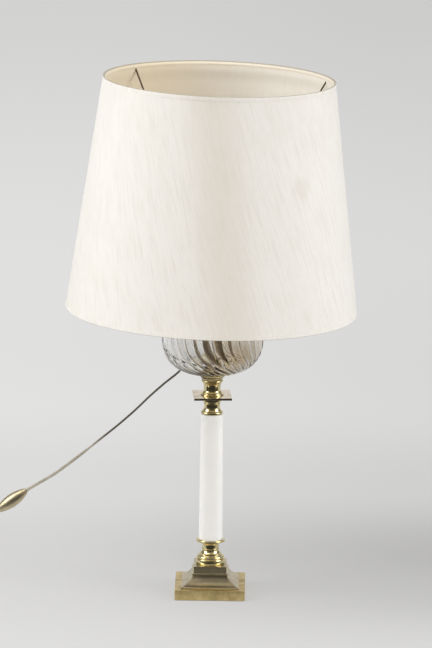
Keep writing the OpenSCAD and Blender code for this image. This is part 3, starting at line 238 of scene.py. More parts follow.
# %% [markdown]
# ## Floor and light
# The lamp stands in a pale studio: a wide soft box on each side, one above, and a side behind
# the camera that reflections find dim, which draws the dark band down the middle of each brass
# turning. The floor is one wide plane that glows by itself in a pale grey where it is seen, with
# a painted shadow of the lamp in that glow, and still takes the lamp's real shadow.

# %% Nodes in a few words
def feed(tree, value, socket):
    """Joins an output to an input socket, or sets the input to a plain value."""
    if isinstance(value, bpy.types.NodeSocket):
        tree.links.new(value, socket)
    elif socket.type == "RGBA":
        socket.default_value = (*value[:3], 1)
    else:
        socket.default_value = value


def node(tree, kind, **values):
    """A shader node of the given kind. A keyword names a property or, with underscores for
    spaces, an input, which takes a socket or a plain value."""
    n = tree.nodes.new("ShaderNode" + kind)
    for key, value in values.items():
        if hasattr(n, key):
            setattr(n, key, value)
        else:
            feed(tree, value, n.inputs[key.replace("_", " ")])
    return n


def wire(tree, *pairs):
    """Joins output sockets to input sockets, given two by two."""
    for a, b in zip(pairs[::2], pairs[1::2]):
        tree.links.new(a, b)


def mix_colours(tree, factor, a, b):
    """A colour between a and b. Each may be a socket or a plain value."""
    n = node(tree, "Mix", data_type="RGBA")
    for k, value in ((0, factor), (6, a), (7, b)):
        feed(tree, value, n.inputs[k])
    return n.outputs[2]


def maths(tree, operation, a, b=0.0, kind="Math"):
    """One arithmetic step on numbers or, with the kind VectorMath, on vectors."""
    n = node(tree, kind, operation=operation)
    feed(tree, a, n.inputs[0])
    feed(tree, b, n.inputs[1])
    return n.outputs["Value" if operation == "DISTANCE" else 0]


def times(tree, a, *more):
    """The product of numbers and sockets."""
    for b in more:
        a = maths(tree, "MULTIPLY", a, b)
    return a


def plus(tree, a, *more):
    """The sum of numbers and sockets."""
    for b in more:
        a = maths(tree, "ADD", a, b)
    return a


def xyz(tree, vector):
    """The three parts of a vector."""
    return tuple(node(tree, "SeparateXYZ", Vector=vector).outputs)


def ranged(tree, value, low, high, to_low=0.0, to_high=1.0):
    """value carried from low..high to to_low..to_high with a smooth start and end."""
    return node(tree, "MapRange", interpolation_type="SMOOTHSTEP", Value=value, From_Min=low,
                From_Max=high, To_Min=to_low, To_Max=to_high).outputs[0]


def between(tree, value, rise, fall):
    """A mask that rises from 0 to 1 over the first two places and falls over the last two."""
    return times(tree, ranged(tree, value, *rise), ranged(tree, value, *fall, 1.0, 0.0))


def noise(tree, vector, scale, detail, roughness=0.5):
    """Noise of the given scale, from 0 to 1."""
    return node(tree, "TexNoise", Vector=vector, Scale=scale, Detail=detail,
                Roughness=roughness).outputs[0]


def either(tree, factor, first, second, output):
    """Ends a tree: the first shader where factor is 0, the second where it is 1."""
    choose = node(tree, "MixShader")
    wire(tree, factor, choose.inputs[0], first.outputs[0], choose.inputs[1],
         second.outputs[0], choose.inputs[2], choose.outputs[0], node(tree, output).inputs[0])


# %% Floor
def ramp(tree, value, stops):
    """A smooth grey scale along value: stops are (place, brightness as seen)."""
    n = node(tree, "ValToRGB")
    n.color_ramp.interpolation = "EASE"
    while len(n.color_ramp.elements) < len(stops):
        n.color_ramp.elements.new(0.5)
    for e, (at, level) in zip(n.color_ramp.elements, stops):
        e.position, e.color = at, (level, level, level, 1)
    tree.links.new(value, n.inputs[0])
    return n.outputs[0]


def floor_material():
    """Left and right of the lamp the paper glows with its own brightness along Y; the two are mixed
    along X. A painted shadow of the lamp makes it darkest just behind the lamp, most on the
    right, and it is brightest some two metres back. Reflections find it dark in front of the
    lamp, where the camera stands."""
    m = bpy.data.materials.new("studio_floor")
    m.use_nodes = True
    t = m.node_tree
    t.nodes.clear()
    path = node(t, "LightPath")
    seen = maths(t, "MAXIMUM", path.outputs["Is Camera Ray"], path.outputs["Is Glossy Ray"])
    seen = maths(t, "MAXIMUM", seen, path.outputs["Is Transmission Ray"])
    x, y, _ = xyz(t, node(t, "TexCoord").outputs["Object"])
    ahead_of, span = 1.0, 7.0
    depth = maths(t, "DIVIDE", plus(t, y, ahead_of), span)
    stops = [(at + ahead_of) / span for at in (-0.75, -0.25, 0.02, 0.18, 0.5, 1.0, 2.2, 5.4)]
    # painted shadow: both ramps dip just behind the lamp, the right one deepest, where the lamp's
    # soft shadow falls
    left = ramp(t, depth, list(zip(stops, (0.50, 0.51, 0.48, 0.465, 0.515, 0.58, 0.61, 0.545))))
    right = ramp(t, depth, list(zip(stops, (0.48, 0.46, 0.335, 0.295, 0.43, 0.515, 0.565, 0.51))))
    tone = mix_colours(t, ranged(t, x, -0.35, 0.42), left, right)
    dark = times(t, path.outputs["Is Glossy Ray"], ranged(t, y, -0.125, -0.055, 0.94, 0.0))
    glow = node(t, "Emission", Color=tone, Strength=maths(t, "SUBTRACT", 1.0, dark))
    paper = node(t, "BsdfDiffuse", Color=mix_colours(t, dark, (0.22, 0.22, 0.22), (0, 0, 0)))
    both = node(t, "AddShader")
    wire(t, glow.outputs[0], both.inputs[0], paper.outputs[0], both.inputs[1])
    plain = node(t, "BsdfDiffuse", Color=(0.72, 0.72, 0.72))
    either(t, seen, plain, both, "OutputMaterial")
    return m


# a square of 24 m, 0.4 mm under the felt
line = np.linspace(-12, 12, 25)
x, y = np.meshgrid(line, line, indexing="ij")
floor = surface("studio_floor", np.stack([x, y, 0 * x - 0.0004], -1), wrap_cols=False)
floor.data.materials.append(floor_material())
if floor.data.polygons[0].normal.z < 0:
    floor.data.flip_normals()
print("floor of", len(floor.data.polygons), "faces")

# %% Ceiling and walls of light
def studio_world():
    """Brightness by direction: diffuse light comes mostly from the camera's side and from
    behind the lamp, while reflections find the camera's side dim."""
    w = bpy.data.worlds.new("studio")
    bpy.context.scene.world = w
    w.use_nodes = True
    t = w.node_tree
    t.nodes.clear()
    _, y, z = xyz(t, node(t, "TexCoord").outputs["Generated"])
    path = node(t, "LightPath")
    dim = times(t, path.outputs["Is Glossy Ray"], ranged(t, y, -0.95, -0.55, 0.82, 0.0))
    front = times(t, ranged(t, y, -0.9, 0.1, 0.45, 0.25), maths(t, "SUBTRACT", 1.0, dim))
    back = ranged(t, y, 0.72, 0.90, 0.0, 0.50)
    up = ranged(t, z, 0.35, 0.95, 0.0, 0.15)
    warmth = mix_colours(t, ranged(t, y, -0.8, 0.1), (1.0, 0.92, 0.80), (1.0, 0.99, 0.975))
    lit = node(t, "Background", Color=warmth, Strength=plus(t, front, back, up))
    seen = node(t, "Background", Color=(0.70, 0.70, 0.70), Strength=1.0)
    behind = ranged(t, y, -0.1, 0.4, 0.55, 1.0)
    through = times(t, path.outputs["Is Transmission Ray"], behind)
    through = maths(t, "MAXIMUM", path.outputs["Is Camera Ray"], through)
    either(t, through, lit, seen, "OutputWorld")


def soft_box(name, place, aim, width, height, watts, colour=(1, 1, 1)):
    """A wide lamp at one place that faces another."""
    data = bpy.data.lights.new(name, "AREA")
    data.shape = "RECTANGLE"
    data.size, data.size_y = width, height
    data.energy = watts
    data.color = colour
    obj = bpy.data.objects.new(name, data)
    bpy.context.scene.collection.objects.link(obj)
    way = (Vector(aim) - Vector(place)).to_track_quat("-Z", "Y")
    obj.matrix_world = Matrix.Translation(Vector(place)) @ way.to_matrix().to_4x4()


studio_world()
soft_box("box_left", (-2.26, -0.76, 1.50), (0, 0, 0.40), 1.5, 1.9, 36.5, (1.0, 0.995, 0.985))
soft_box("box_right", (2.26, -0.76, 1.25), (0, 0, 0.35), 1.4, 1.9, 36)
soft_box("box_top", (-0.80, -0.85, 2.75), (0, 0, 0.4), 1.6, 1.6, 19)
print("world and three soft boxes made")

# %% [markdown]
# ## Finishes
# Effects that several materials share are node groups: clouds of tarnish, fine strokes from
# turning and polishing, and threads. Each group gives out a mask or a height, and each material
# decides what to do with it.

# %% Shared effects
def effect(name, inputs, outputs):
    """An empty node group with named inputs (name, kind, value) and outputs (name, kind)."""
    tree = bpy.data.node_groups.new(name, "ShaderNodeTree")
    for label, kind, value in inputs:
        s = tree.interface.new_socket(label, in_out="INPUT", socket_type="NodeSocket" + kind)
        if value is not None:
            s.default_value = value
    for label, kind in outputs:
        tree.interface.new_socket(label, in_out="OUTPUT", socket_type="NodeSocket" + kind)
    return tree, tree.nodes.new("NodeGroupInput").outputs, tree.nodes.new("NodeGroupOutput").inputs


def clouds_effect():
    """Two sizes of noise added, then cut to a soft-edged mask between Low and High."""
    t, i, o = effect("Clouds", [("Vector", "Vector", None), ("Size", "Float", 40.0),
                                ("Low", "Float", 0.4), ("High", "Float", 0.65)],
                     [("Mask", "Float")])
    total = plus(t, times(t, noise(t, i["Vector"], i["Size"], 5.0, 0.6), 0.75),
                 times(t, noise(t, i["Vector"], times(t, i["Size"], 4.3), 3.0), 0.25))
    wire(t, ranged(t, total, i["Low"], i["High"]), o["Mask"])
    return t


def strokes_effect():
    """Noise at a place times Stretch, so fine along one axis and long across it: the marks of
    a file, a cloth or a lathe."""
    t, i, o = effect("Strokes", [("Vector", "Vector", None), ("Stretch", "Vector", (1, 1, 30)),
                                 ("Size", "Float", 60.0)], [("Height", "Float"), ("Mask", "Float")])
    drawn = maths(t, "MULTIPLY", i["Vector"], i["Stretch"], "VectorMath")
    height = noise(t, drawn, i["Size"], 3.0, 0.65)
    wire(t, height, o["Height"], ranged(t, height, 0.5, 0.72), o["Mask"])
    return t


def threads_effect():
    """Two crossed sets of threads, the greater of two rectified sines of the UV lengths, and
    slubs where noise drawn out along a line that leans from V is high."""
    t, i, o = effect("Threads", [("UV", "Vector", None), ("Threads", "Float", 1500.0),
                                 ("Slub size", "Float", 260.0)],
                     [("Height", "Float"), ("Slubs", "Float")])
    lean = node(t, "Mapping", Vector=i["UV"], Rotation=(0, 0, np.radians(-17))).outputs[0]
    drawn = maths(t, "MULTIPLY", lean, (1.0, 0.07, 1.0), "VectorMath")
    slubs = noise(t, drawn, i["Slub size"], 4.0, 0.62)
    waves = [maths(t, "ABSOLUTE", maths(t, "SINE", times(t, length, i["Threads"], np.pi)))
             for length in xyz(t, i["UV"])[:2]]
    weave = times(t, maths(t, "MAXIMUM", *waves), 0.35)
    wire(t, plus(t, weave, slubs), o["Height"], slubs, o["Slubs"])
    return t


CLOUDS, STROKES, THREADS = clouds_effect(), strokes_effect(), threads_effect()
print("shared effects:", CLOUDS.name, STROKES.name, THREADS.name)


# %% The frame of every material
def finish_of(name, colour, roughness, metallic=0.0, **sockets):
    """A material with one Principled shader. Returns material, tree, shader."""
    m = bpy.data.materials.new(name)
    m.use_nodes = True
    t = m.node_tree
    s = t.nodes["Principled BSDF"]
    sockets.update(Base_Color=colour, Roughness=roughness, Metallic=metallic)
    for key, value in sockets.items():
        feed(t, value, s.inputs[key.replace("_", " ")])
    return m, t, s


def placed(t, tree, vector, **values):
    """A shared effect placed in a material with its own values."""
    g = node(t, "Group", node_tree=tree, **values)
    t.links.new(vector, g.inputs[0])
    return g.outputs


def bumped(t, s, height, strength, distance):
    """Feeds a height to the shader's normal through a Bump node."""
    b = node(t, "Bump", Strength=strength, Distance=distance, Height=height)
    t.links.new(b.outputs[0], s.inputs["Normal"])


def here(t):
    """The place in the object."""
    return node(t, "TexCoord").outputs["Object"]


def along(t):
    """The lengths along a sheet or a cord, in metres."""
    return node(t, "UVMap", uv_map="along").outputs[0]


def clouded(t, at, size, low, high):
    """The mask of clouds of that size."""
    return placed(t, CLOUDS, at, Size=size, Low=low, High=high)["Mask"]


# %% [markdown]
# ### Brass
# The brasses differ only in age and finish: the cast plinth is satin, the riser is dark, and
# the turnings are kept polished. The riser's front face carries a painted shade in its cove and
# over its foot, and a painted highlight on the foot's edge. Tarnish lowers both the colour and
# the shine, so one cloud mask feeds colour and roughness together.

# %% Brass
# Heights on the riser, in metres, where its painted shade or the painted highlight on its
# foot's edge sets in and ends.
COVE_SHADE_AT, LIP_SHADE_AT = ((0.0172, 0.0198), (0.0258, 0.0264)), ((0.0143, 0.0146), (0.0156, 0.0163))
FOOT_HIGHLIGHT_AT = 0.0140, 0.0143


def brass(name, bright, dull, roughness, worn, size=60.0, low=0.42, high=0.62,
          stretch=(1, 1, 30), stroke=80.0, mark=0.10, relief=0.25, painted_shade_colour=None):
    """Brass in two tones with fine marks: the darkness of the marks is mark, their bump
    relief. The last argument is the colour of a painted shade on the riser's front face, in
    its cove, thinner towards the cove's left end, and in a line over its foot, whose edge gets a
    painted highlight."""
    m, t, s = finish_of(name, bright, roughness, 1.0)
    at = here(t)
    mask = clouded(t, at, size, low, high)
    marks = placed(t, STROKES, at, Stretch=stretch, Size=stroke)
    tone = mix_colours(t, times(t, marks["Mask"], mark * 4),
                       mix_colours(t, mask, bright, dull), tuple(c * 0.62 for c in bright))
    # painted shade on the riser's front face, in its cove and in a line over its foot, and a
    # painted highlight on the foot's edge
    if painted_shade_colour:
        x, y, z = xyz(t, at)
        front = ranged(t, plus(t, maths(t, "ABSOLUTE", x), y), -0.003, 0.0, 1.0, 0.0)
        thinner = ranged(t, x, -0.022, -0.006, 0.50, 0.92)
        cove = times(t, between(t, z, *COVE_SHADE_AT), front, thinner)
        line = times(t, between(t, z, *LIP_SHADE_AT), front, 0.65)
        tone = mix_colours(t, plus(t, cove, line), tone, painted_shade_colour)
        foot_highlight = times(t, ranged(t, z, *FOOT_HIGHLIGHT_AT, 1.0, 0.0), front)
        tone = mix_colours(t, foot_highlight, tone, (0.98, 0.90, 0.68))
    rough = plus(t, times(t, mask, worn - roughness), roughness, times(t, marks["Height"], mark))
    wire(t, tone, s.inputs["Base Color"], rough, s.inputs["Roughness"])
    bumped(t, s, marks["Height"], relief, 0.0002)
    return m


POLISHED = brass("polished_brass", (0.79, 0.69, 0.39), (0.59, 0.48, 0.24), 0.12, 0.24,
                 size=90.0, low=0.5, high=0.75, stretch=(1, 1, 26), stroke=55.0, mark=0.05)
SATIN = brass("satin_cast_brass", (0.78, 0.62, 0.295), (0.56, 0.43, 0.20), 0.28, 0.40,
              size=46.0, low=0.40, stretch=(5, 5, 26), stroke=26.0, mark=0.14)
# its last colour is the painted shade on the riser's front face
DARK = brass("dark_cast_brass", (0.60, 0.53, 0.36), (0.50, 0.43, 0.28), 0.25, 0.33,
             stretch=(3, 3, 40), stroke=70.0, mark=0.06, relief=0.06, painted_shade_colour=(0.20, 0.175, 0.12))
PLATE = brass("abacus_brass", (0.84, 0.74, 0.59), (0.70, 0.59, 0.44), 0.14, 0.24,
              size=80.0, stretch=(30, 3, 3), stroke=60.0, mark=0.04)
BURNER = brass("burner_brass", (0.50, 0.36, 0.15), (0.26, 0.17, 0.07), 0.28, 0.50,
               size=70.0, low=0.38, high=0.60)
SOOTY = brass("sooty_wick_tube", (0.76, 0.645, 0.51), (0.55, 0.455, 0.34), 0.40, 0.60,
              size=70.0, low=0.38, high=0.60)
print("brasses made")

# %% [markdown]
# ### Stone, cement and felt
# The shaft is white alabaster: light goes a little way in, so it is soft at its edges, and
# faint grey-green and ochre clouds drift through it under a smooth polish.

# %% Stone, cement, felt
def alabaster():
    """White stone with faint clouds and veins. Light spreads 5 mm into it."""
    white = (0.99, 0.99, 0.985)
    m, t, s = finish_of("white_alabaster", white, 0.22, Subsurface_Weight=0.35,
                        Subsurface_Radius=(1.0, 0.95, 0.88), Subsurface_Scale=0.005,
                        Coat_Weight=0.25, Coat_Roughness=0.12)
    at = here(t)
    clouds = clouded(t, at, 22.0, 0.42, 0.66)
    veins = placed(t, STROKES, at, Stretch=(1.0, 1.0, 0.35), Size=48.0)["Mask"]
    tone = mix_colours(t, times(t, clouds, 0.5), white, (0.955, 0.96, 0.945))
    tone = mix_colours(t, times(t, veins, 0.3), tone, (0.955, 0.94, 0.89))
    wire(t, tone, s.inputs["Base Color"])
    return m


def rough_matter(name, colour, darker, size, roughness, bump):
    """A dull material: two tones in clouds with a grainy surface."""
    m, t, s = finish_of(name, colour, roughness)
    at = here(t)
    wire(t, mix_colours(t, clouded(t, at, size, 0.4, 0.62), colour, darker),
         s.inputs["Base Color"])
    bumped(t, s, noise(t, at, size * 14, 3.0), bump, 0.0003)
    return m


STONE = alabaster()
CEMENT = rough_matter("cement", (0.62, 0.58, 0.50), (0.52, 0.47, 0.38), 200.0, 0.85, 0.5)
FELT = rough_matter("green_felt", (0.035, 0.085, 0.045), (0.02, 0.055, 0.03), 300.0, 0.95, 0.8)
print("stone, cement and felt made")

# %% [markdown]
# ### Glass
# The font is pressed clear glass. The bright and dark lines on it are light bent by the ribs,
# and the material adds only two painted tints: a gold reflection of the brass under its foot, and
# an amber tint low on one side for the tan lining seen through the glass.

# %% Glass
def clear_glass():
    """Clear glass. Its foot carries a painted gold reflection of the brass and cement under it, and
    low on one side a painted amber tint stands in for the tan lining seen through the glass."""
    clear = (0.985, 0.99, 0.985)
    m, t, s = finish_of("clear_glass", clear, 0.0, Transmission_Weight=1.0, IOR=1.5)
    at = here(t)
    x, _, z = xyz(t, at)
    waves = noise(t, at, 55.0, 2.0)
    wander = times(t, maths(t, "SUBTRACT", waves, 0.5), 0.030)
    high = plus(t, z, wander)
    # the gold foot is a painted reflection of the brass under it, and the amber tint low on one
    # side is painted refraction of the tan lining
    brass_reflection_to, amber_fades, amber_side = (0.2725, 0.279), (0.300, 0.335), (-0.020, 0.028)
    foot = ranged(t, high, *brass_reflection_to, 1.0, 0.0)
    amber_tint = times(t, ranged(t, high, *amber_fades, 0.80, 0.15),
                 ranged(t, plus(t, x, wander), *amber_side, 0.15, 1.0))
    tone = mix_colours(t, amber_tint, clear, (0.78, 0.685, 0.55))
    wire(t, mix_colours(t, foot, tone, (0.92, 0.73, 0.33)), s.inputs["Base Color"])
    bumped(t, s, waves, 0.10, 0.0006)
    return m


def frosted_bulb():
    m, t, s = finish_of("frosted_bulb", (0.90, 0.90, 0.88), 0.32, Coat_Weight=0.4)
    mask = clouded(t, here(t), 30.0, 0.4, 0.7)
    wire(t, mix_colours(t, mask, (0.91, 0.91, 0.89), (0.86, 0.86, 0.84)), s.inputs["Base Color"])
    return m


GLASS, BULB = clear_glass(), frosted_bulb()
print("glasses made")

# %% [markdown]
# ### Cloth, plastics and the small metals
# The shade is a slubby off-white cloth on a stiff backing. Its long slubs lean a little, because
# the cloth was cut from a flat sheet and rolled into a cone. A soft band down the front is darker,
# partly from dust and partly painted shade, and there is one faint stain. Inside, a painted shade
# makes the lining darker and yellower towards the left, and the hems are darker along their folds.

# %% Cloth
def shade_cloth(name, light, dark, slub, worn=False, shaded_side_tint=None, fold=None):
    """Cloth with leaning slubs. Worn cloth is also darker in clouds, and down a soft band that
    leans a little across the front, partly from dust and partly painted shade. A lining or a
    hem's inner side may carry a painted shade, darker and yellower towards the left, and a hem
    is darker in a thin line along its fold."""
    m, t, s = finish_of(name, light, 0.85, Sheen_Weight=0.15, Sheen_Roughness=0.5)
    threads = placed(t, THREADS, along(t), Threads=1400.0, Slub_size=300.0)
    tone = mix_colours(t, times(t, ranged(t, threads["Slubs"], 0.42, 0.70), slub), light, dark)
    if worn:
        at = here(t)
        x, y, z = xyz(t, at)
        lean, middle, reach, stain_at = 0.09, 0.054, 0.052, (0.103, -0.113, 0.522)
        off = maths(t, "ABSOLUTE", maths(t, "SUBTRACT", plus(t, x, times(t, z, lean)), middle))
        # the band is partly dust and partly painted shade down the front
        band = times(t, ranged(t, off, 0.0, reach, 1.0, 0.0), ranged(t, y, -0.05, -0.02, 1.0, 0.0))
        cloud = plus(t, clouded(t, at, 9.0, 0.44, 0.70),
                     times(t, clouded(t, at, 110.0, 0.45, 0.65), 0.45))
        stain = maths(t, "DISTANCE", at, stain_at, "VectorMath")
        ragged = maths(t, "SUBTRACT", stain, times(t, threads["Slubs"], 0.012))
        wear = plus(t, times(t, cloud, 0.17), times(t, band, 0.58),
                    ranged(t, ragged, 0.001, 0.012, 0.35, 0.0))
        tone = mix_colours(t, wear, tone, dark)
    # painted shade: darker and yellower towards the left inside the shade
    if shaded_side_tint:
        left_shade = ranged(t, x, -0.10, 0.06, 1.0, 0.5 if fold else 0.0)
        if fold:
            round_hem = xyz(t, along(t))[1]
            left_shade = times(t, left_shade, ranged(t, round_hem, 0.0064, 0.0074))
        tone = mix_colours(t, left_shade, tone, shaded_side_tint)
        if fold:
            # a thin darker line along the hem's fold
            fold_line = times(t, between(t, round_hem, (0.0044, 0.0050), (0.0076, 0.0086)), 0.85)
            tone = mix_colours(t, fold_line, tone, fold)
    wire(t, tone, s.inputs["Base Color"])
    bumped(t, s, threads["Height"], 0.38, 0.0003)
    return m


def plain_plastic(name, colour, darker, roughness=0.4, size=120.0, dark_near_lamp=None):
    """Two tones in clouds and a fine grain. Given a darker colour, a cord is darker over its first
    0.3 m from the lamp."""
    m, t, s = finish_of(name, colour, roughness)
    at = here(t)
    mask = clouded(t, at, size, 0.40, 0.66)
    tone = mix_colours(t, mask, colour, darker)
    # darker over the first 0.3 m of the cord from the lamp
    if dark_near_lamp:
        tone = mix_colours(t, ranged(t, xyz(t, along(t))[1], 0.295, 0.335), dark_near_lamp, tone)
    rough = plus(t, times(t, mask, 0.12), roughness)
    wire(t, tone, s.inputs["Base Color"], rough, s.inputs["Roughness"])
    bumped(t, s, noise(t, at, 1800.0, 2.0), 0.12, 0.0001)
    return m


OFF_WHITE, DUST_AND_SHADE, LEFT_SHADE_TINT = (0.872, 0.856, 0.826), (0.72, 0.68, 0.61), (0.86, 0.76, 0.585)
CLOTH = shade_cloth("shade_cloth", OFF_WHITE, DUST_AND_SHADE, 0.38, worn=True)
HEM = shade_cloth("hem_cloth", OFF_WHITE, DUST_AND_SHADE, 0.38, worn=True, shaded_side_tint=LEFT_SHADE_TINT,
                  fold=(0.40, 0.355, 0.275))
LINING = shade_cloth("lining_cloth", (0.96, 0.935, 0.885), (0.80, 0.73, 0.62), 0.16, worn=True,
                     shaded_side_tint=LEFT_SHADE_TINT)
TAPE = shade_cloth("binding_tape", (0.68, 0.61, 0.50), (0.56, 0.49, 0.38), 0.3)
KHAKI = (0.50, 0.465, 0.39), (0.41, 0.375, 0.31), 0.45, 90.0
SHEATH = plain_plastic("cord_sheath", *KHAKI)
DARK_END_SHEATH = plain_plastic("cord_sheath_dark_near_lamp", *KHAKI, dark_near_lamp=(0.10, 0.085, 0.062))
TAN = plain_plastic("tan_plastic", (0.34, 0.27, 0.18), (0.26, 0.20, 0.13), 0.42)
PALE = plain_plastic("pale_plastic", (0.66, 0.56, 0.36), (0.50, 0.40, 0.24), 0.35)
BLACKISH = plain_plastic("dark_plastic", (0.028, 0.022, 0.017), (0.05, 0.04, 0.03), 0.34)
CERAMIC = plain_plastic("ceramic", (0.80, 0.77, 0.70), (0.70, 0.66, 0.56), 0.22)
WIRE = brass("dark_wire", (0.16, 0.105, 0.06), (0.09, 0.055, 0.03), 0.38, 0.55, size=150.0)
STEEL = brass("plated_steel", (0.60, 0.60, 0.58), (0.42, 0.40, 0.36), 0.24, 0.42, size=120.0)
NICKEL = brass("bulb_metal", (0.66, 0.63, 0.55), (0.48, 0.44, 0.34), 0.22, 0.36, size=120.0)
GILT = brass("gilt_case", (0.64, 0.555, 0.37), (0.46, 0.39, 0.24), 0.34, 0.46, size=120.0,
             low=0.45, high=0.7, stretch=(3, 1, 1), stroke=120.0, mark=0.06)
print("cloth, plastics and small metals made")

# %% [markdown]
# ## Cord
# The cord is a flat one with two cores side by side, so its section is two overlapping circles.
# It leaves the burner's adaptor behind the glass, hangs in a long curve to the switch, lands,
# turns back and is wound into a coil that ends in the plug. A flat cord turns on its edge where
# it has to bend, and so it shows its narrow side near the lamp and its face near the switch.

# %% Route of the cord
def glided(p, n):
    """A smooth curve through the points: between two of them a cubic whose slope at each point
    is half the step from the point before it to the point after it."""
    p = np.asarray(p, float)
    q = np.vstack([p[:1], p, p[-1:]])
    t = (np.arange(n) / n)[None, :, None]
    a, b, c, d = (q[k:len(q) - 3 + k, None] for k in range(4))
    r = 0.5 * (2 * b + (c - a) * t + (2 * a - 5 * b + 4 * c - d) * t ** 2
               + (3 * b - a - 3 * c + d) * t ** 3)
    return np.vstack([r.reshape(-1, 3), p[-1:]])


outlet = np.array([np.cos(np.radians(70)), np.sin(np.radians(70)), 0])
outlet_up = np.array([0, 0, 386.296])
switch_mid = np.array([-243.7, 42.0, 100.0])
switch_way = np.array([np.cos(np.radians(36.4)), 0, np.sin(np.radians(36.4))])
switch_half = 21.5
lamp_route = np.vstack([outlet * 21 + outlet_up, outlet * 29 + outlet_up,
                        [[12.5, 38, 385.4], [15.8, 48.5, 381.5], [18, 60, 372], [18, 69, 359],
                         [15.5, 74, 344], [10, 76.5, 327], [0, 76.5, 310], [-12, 73, 293],
                         [-25, 68.5, 277], [-41, 62, 260], [-58, 60, 246], [-76, 58, 230],
                         [-95, 56, 211.5], [-115, 53, 194], [-137, 51, 176], [-163, 49, 155],
                         [-191, 46, 134], [-209, 43.8, 123.2]],
                        switch_mid + switch_way * switch_half])
half_turn = np.radians(np.arange(-90, -271, -30))
floor_z = 1.95
coil_x, coil_y, coil_r, coil_pitch = -350, 110, 25.1875, 4.2
bend_x, bend_y, bend_r = -408, 66.906, 17.906
floor_route = np.vstack([switch_mid - switch_way * switch_half,
                         [[-280, 42.5, 73.2], [-301, 43.5, 57.6], [-322, 44.7, 42.6],
                          [-343, 46, 28.6], [-362, 47.4, 16.5], [-378, 48.4, 7],
                          [-393, 49, 2.3]],
                         rings(bend_r, floor_z, half_turn) + [bend_x, bend_y, 0],
                         [[x, coil_y - coil_r, floor_z] for x in (-390, -371)]])


def coil_route(turns=7.5, layers=4, steps=48):
    """Round and round: each layer winds in by one pitch a turn or out again, and the way climbs
    one layer in the half turn round each reversal."""
    per = turns / layers
    t = np.arange(int(turns * steps) + 1) / steps
    f = t / per
    k = np.minimum(np.floor(f), layers - 1)
    inward = np.where(k % 2 == 0, f - k, 1 - (f - k)) * per
    layer = sum(np.clip((t - n * per + 0.25) / 0.5, 0, 1) for n in range(1, layers))
    r = coil_r - inward * coil_pitch
    a = TAU * t - np.pi / 2
    return rings(r, floor_z + layer * coil_pitch, a) + [coil_x, coil_y, 0]


coil = coil_route()
tail_route = np.vstack([coil[-1], coil[-1] + [-8, 0, 0],
                        [[x, coil_y + coil_r, z] for x, z in (
                            (-366, 13.9), (-380, 11.2), (-394, 8.2), (-405, 7), (-412, 6.85))]])
lamp_way = glided(lamp_route, 8) * MM
rest_way = np.vstack([glided(floor_route, 8), coil, glided(tail_route, 6)[1:]]) * MM


def length_of(way):
    """Length of a route in metres."""
    return float(lengths_along(way)[-1])


def across(v, way):
    """The directions that lie across a route, nearest to v, and the route's own."""
    step = unit(np.gradient(way, axis=0))
    return unit(v - (v * step).sum(1, keepdims=True) * step), step


print("cord from lamp to switch", round(length_of(lamp_way), 3), "m, and on to the plug",
      round(length_of(rest_way), 3), "m")


# %% Flat two-core cord along a route
DEEP = np.array([0, 1.0, 0])


def drawn_along(way, w, n, reach, q):
    """Rings across a route: each point stands off it by reach at the angle q from w to n."""
    q = q[:, None]
    return way[:, None] + reach[..., None] * (w[:, None] * np.cos(q) + n[:, None] * np.sin(q))


def flat_cord(name, way, width_dir, core=1.15, apart=0.75, around=24):
    """The section, at angle q, reaches apart |cos q| + sqrt(core^2 - apart^2 sin^2 q): two
    overlapping circles. It stands across the route, its width along width_dir."""
    w, step = across(width_dir, way)
    q = np.arange(around) * TAU / around
    reach = (apart * np.abs(np.cos(q)) + np.sqrt(core ** 2 - apart ** 2 * np.sin(q) ** 2)) * MM
    return surface(name, drawn_along(way, w, np.cross(step, w), reach, q), v=lengths_along(way),
                   u=np.arange(around + 1) * 0.01 / around, poles=(way[0], way[-1]))


def turned_width(way, face_on):
    """face_on is 1 where the cord shows its face to the front and 0 where it shows its edge.
    The width turns from the front-to-back direction to the one that lies across the route in
    the picture, through the angle 90 degrees times face_on."""
    edge, step = across(DEEP, way)
    face = np.cross(step, edge)
    a = np.asarray(face_on)[:, None] * np.pi / 2
    return edge * np.cos(a) + face * np.sin(a)


def ease(x, low, high):
    """From 0 at low to 1 at high, with a smooth start and end."""
    t = np.clip((x - low) / (high - low), 0, 1)
    return t * t * (3 - 2 * t)


lamp_face = ease(-lamp_way[:, 0], 0.145, 0.162)
cord_lamp = flat_cord("cord_to_switch", lamp_way, turned_width(lamp_way, lamp_face))
s_rest = lengths_along(rest_way)
hang_dir = turned_width(rest_way, np.ones(len(rest_way)))
hang_dir *= np.sign(hang_dir[:, 2:3])
# the cord turns on its edge as it lands, and lies flat again in the plug
landed = 0.165
on_floor = np.maximum(ease(-rest_way[:, 0], 0.355, 0.390), s_rest >= landed)[:, None]
in_plug = ease(s_rest, s_rest[-1] - 0.050, s_rest[-1] - 0.014)[:, None]
width = hang_dir * (1 - on_floor) + on_floor * [0, 0, 1.0]
width = width * (1 - in_plug) + DEEP * in_plug
cord_rest = flat_cord("cord_to_plug", rest_way, width)


def sleeve(name, way, thin, thick, around=40):
    """Strain relief: rings across the route whose radius grows evenly from thin to thick, less
    a shallow groove on every second ring. Both ends are closed."""
    side, step = across(DEEP, way)
    r = np.linspace(thin, thick, len(way)) - 0.35 * (np.arange(len(way)) % 2)
    grid = drawn_along(way, side, np.cross(step, side), (r * MM)[:, None],
                       np.arange(around) * TAU / around)
    return surface(name, grid, poles=(way[0], way[-1]))


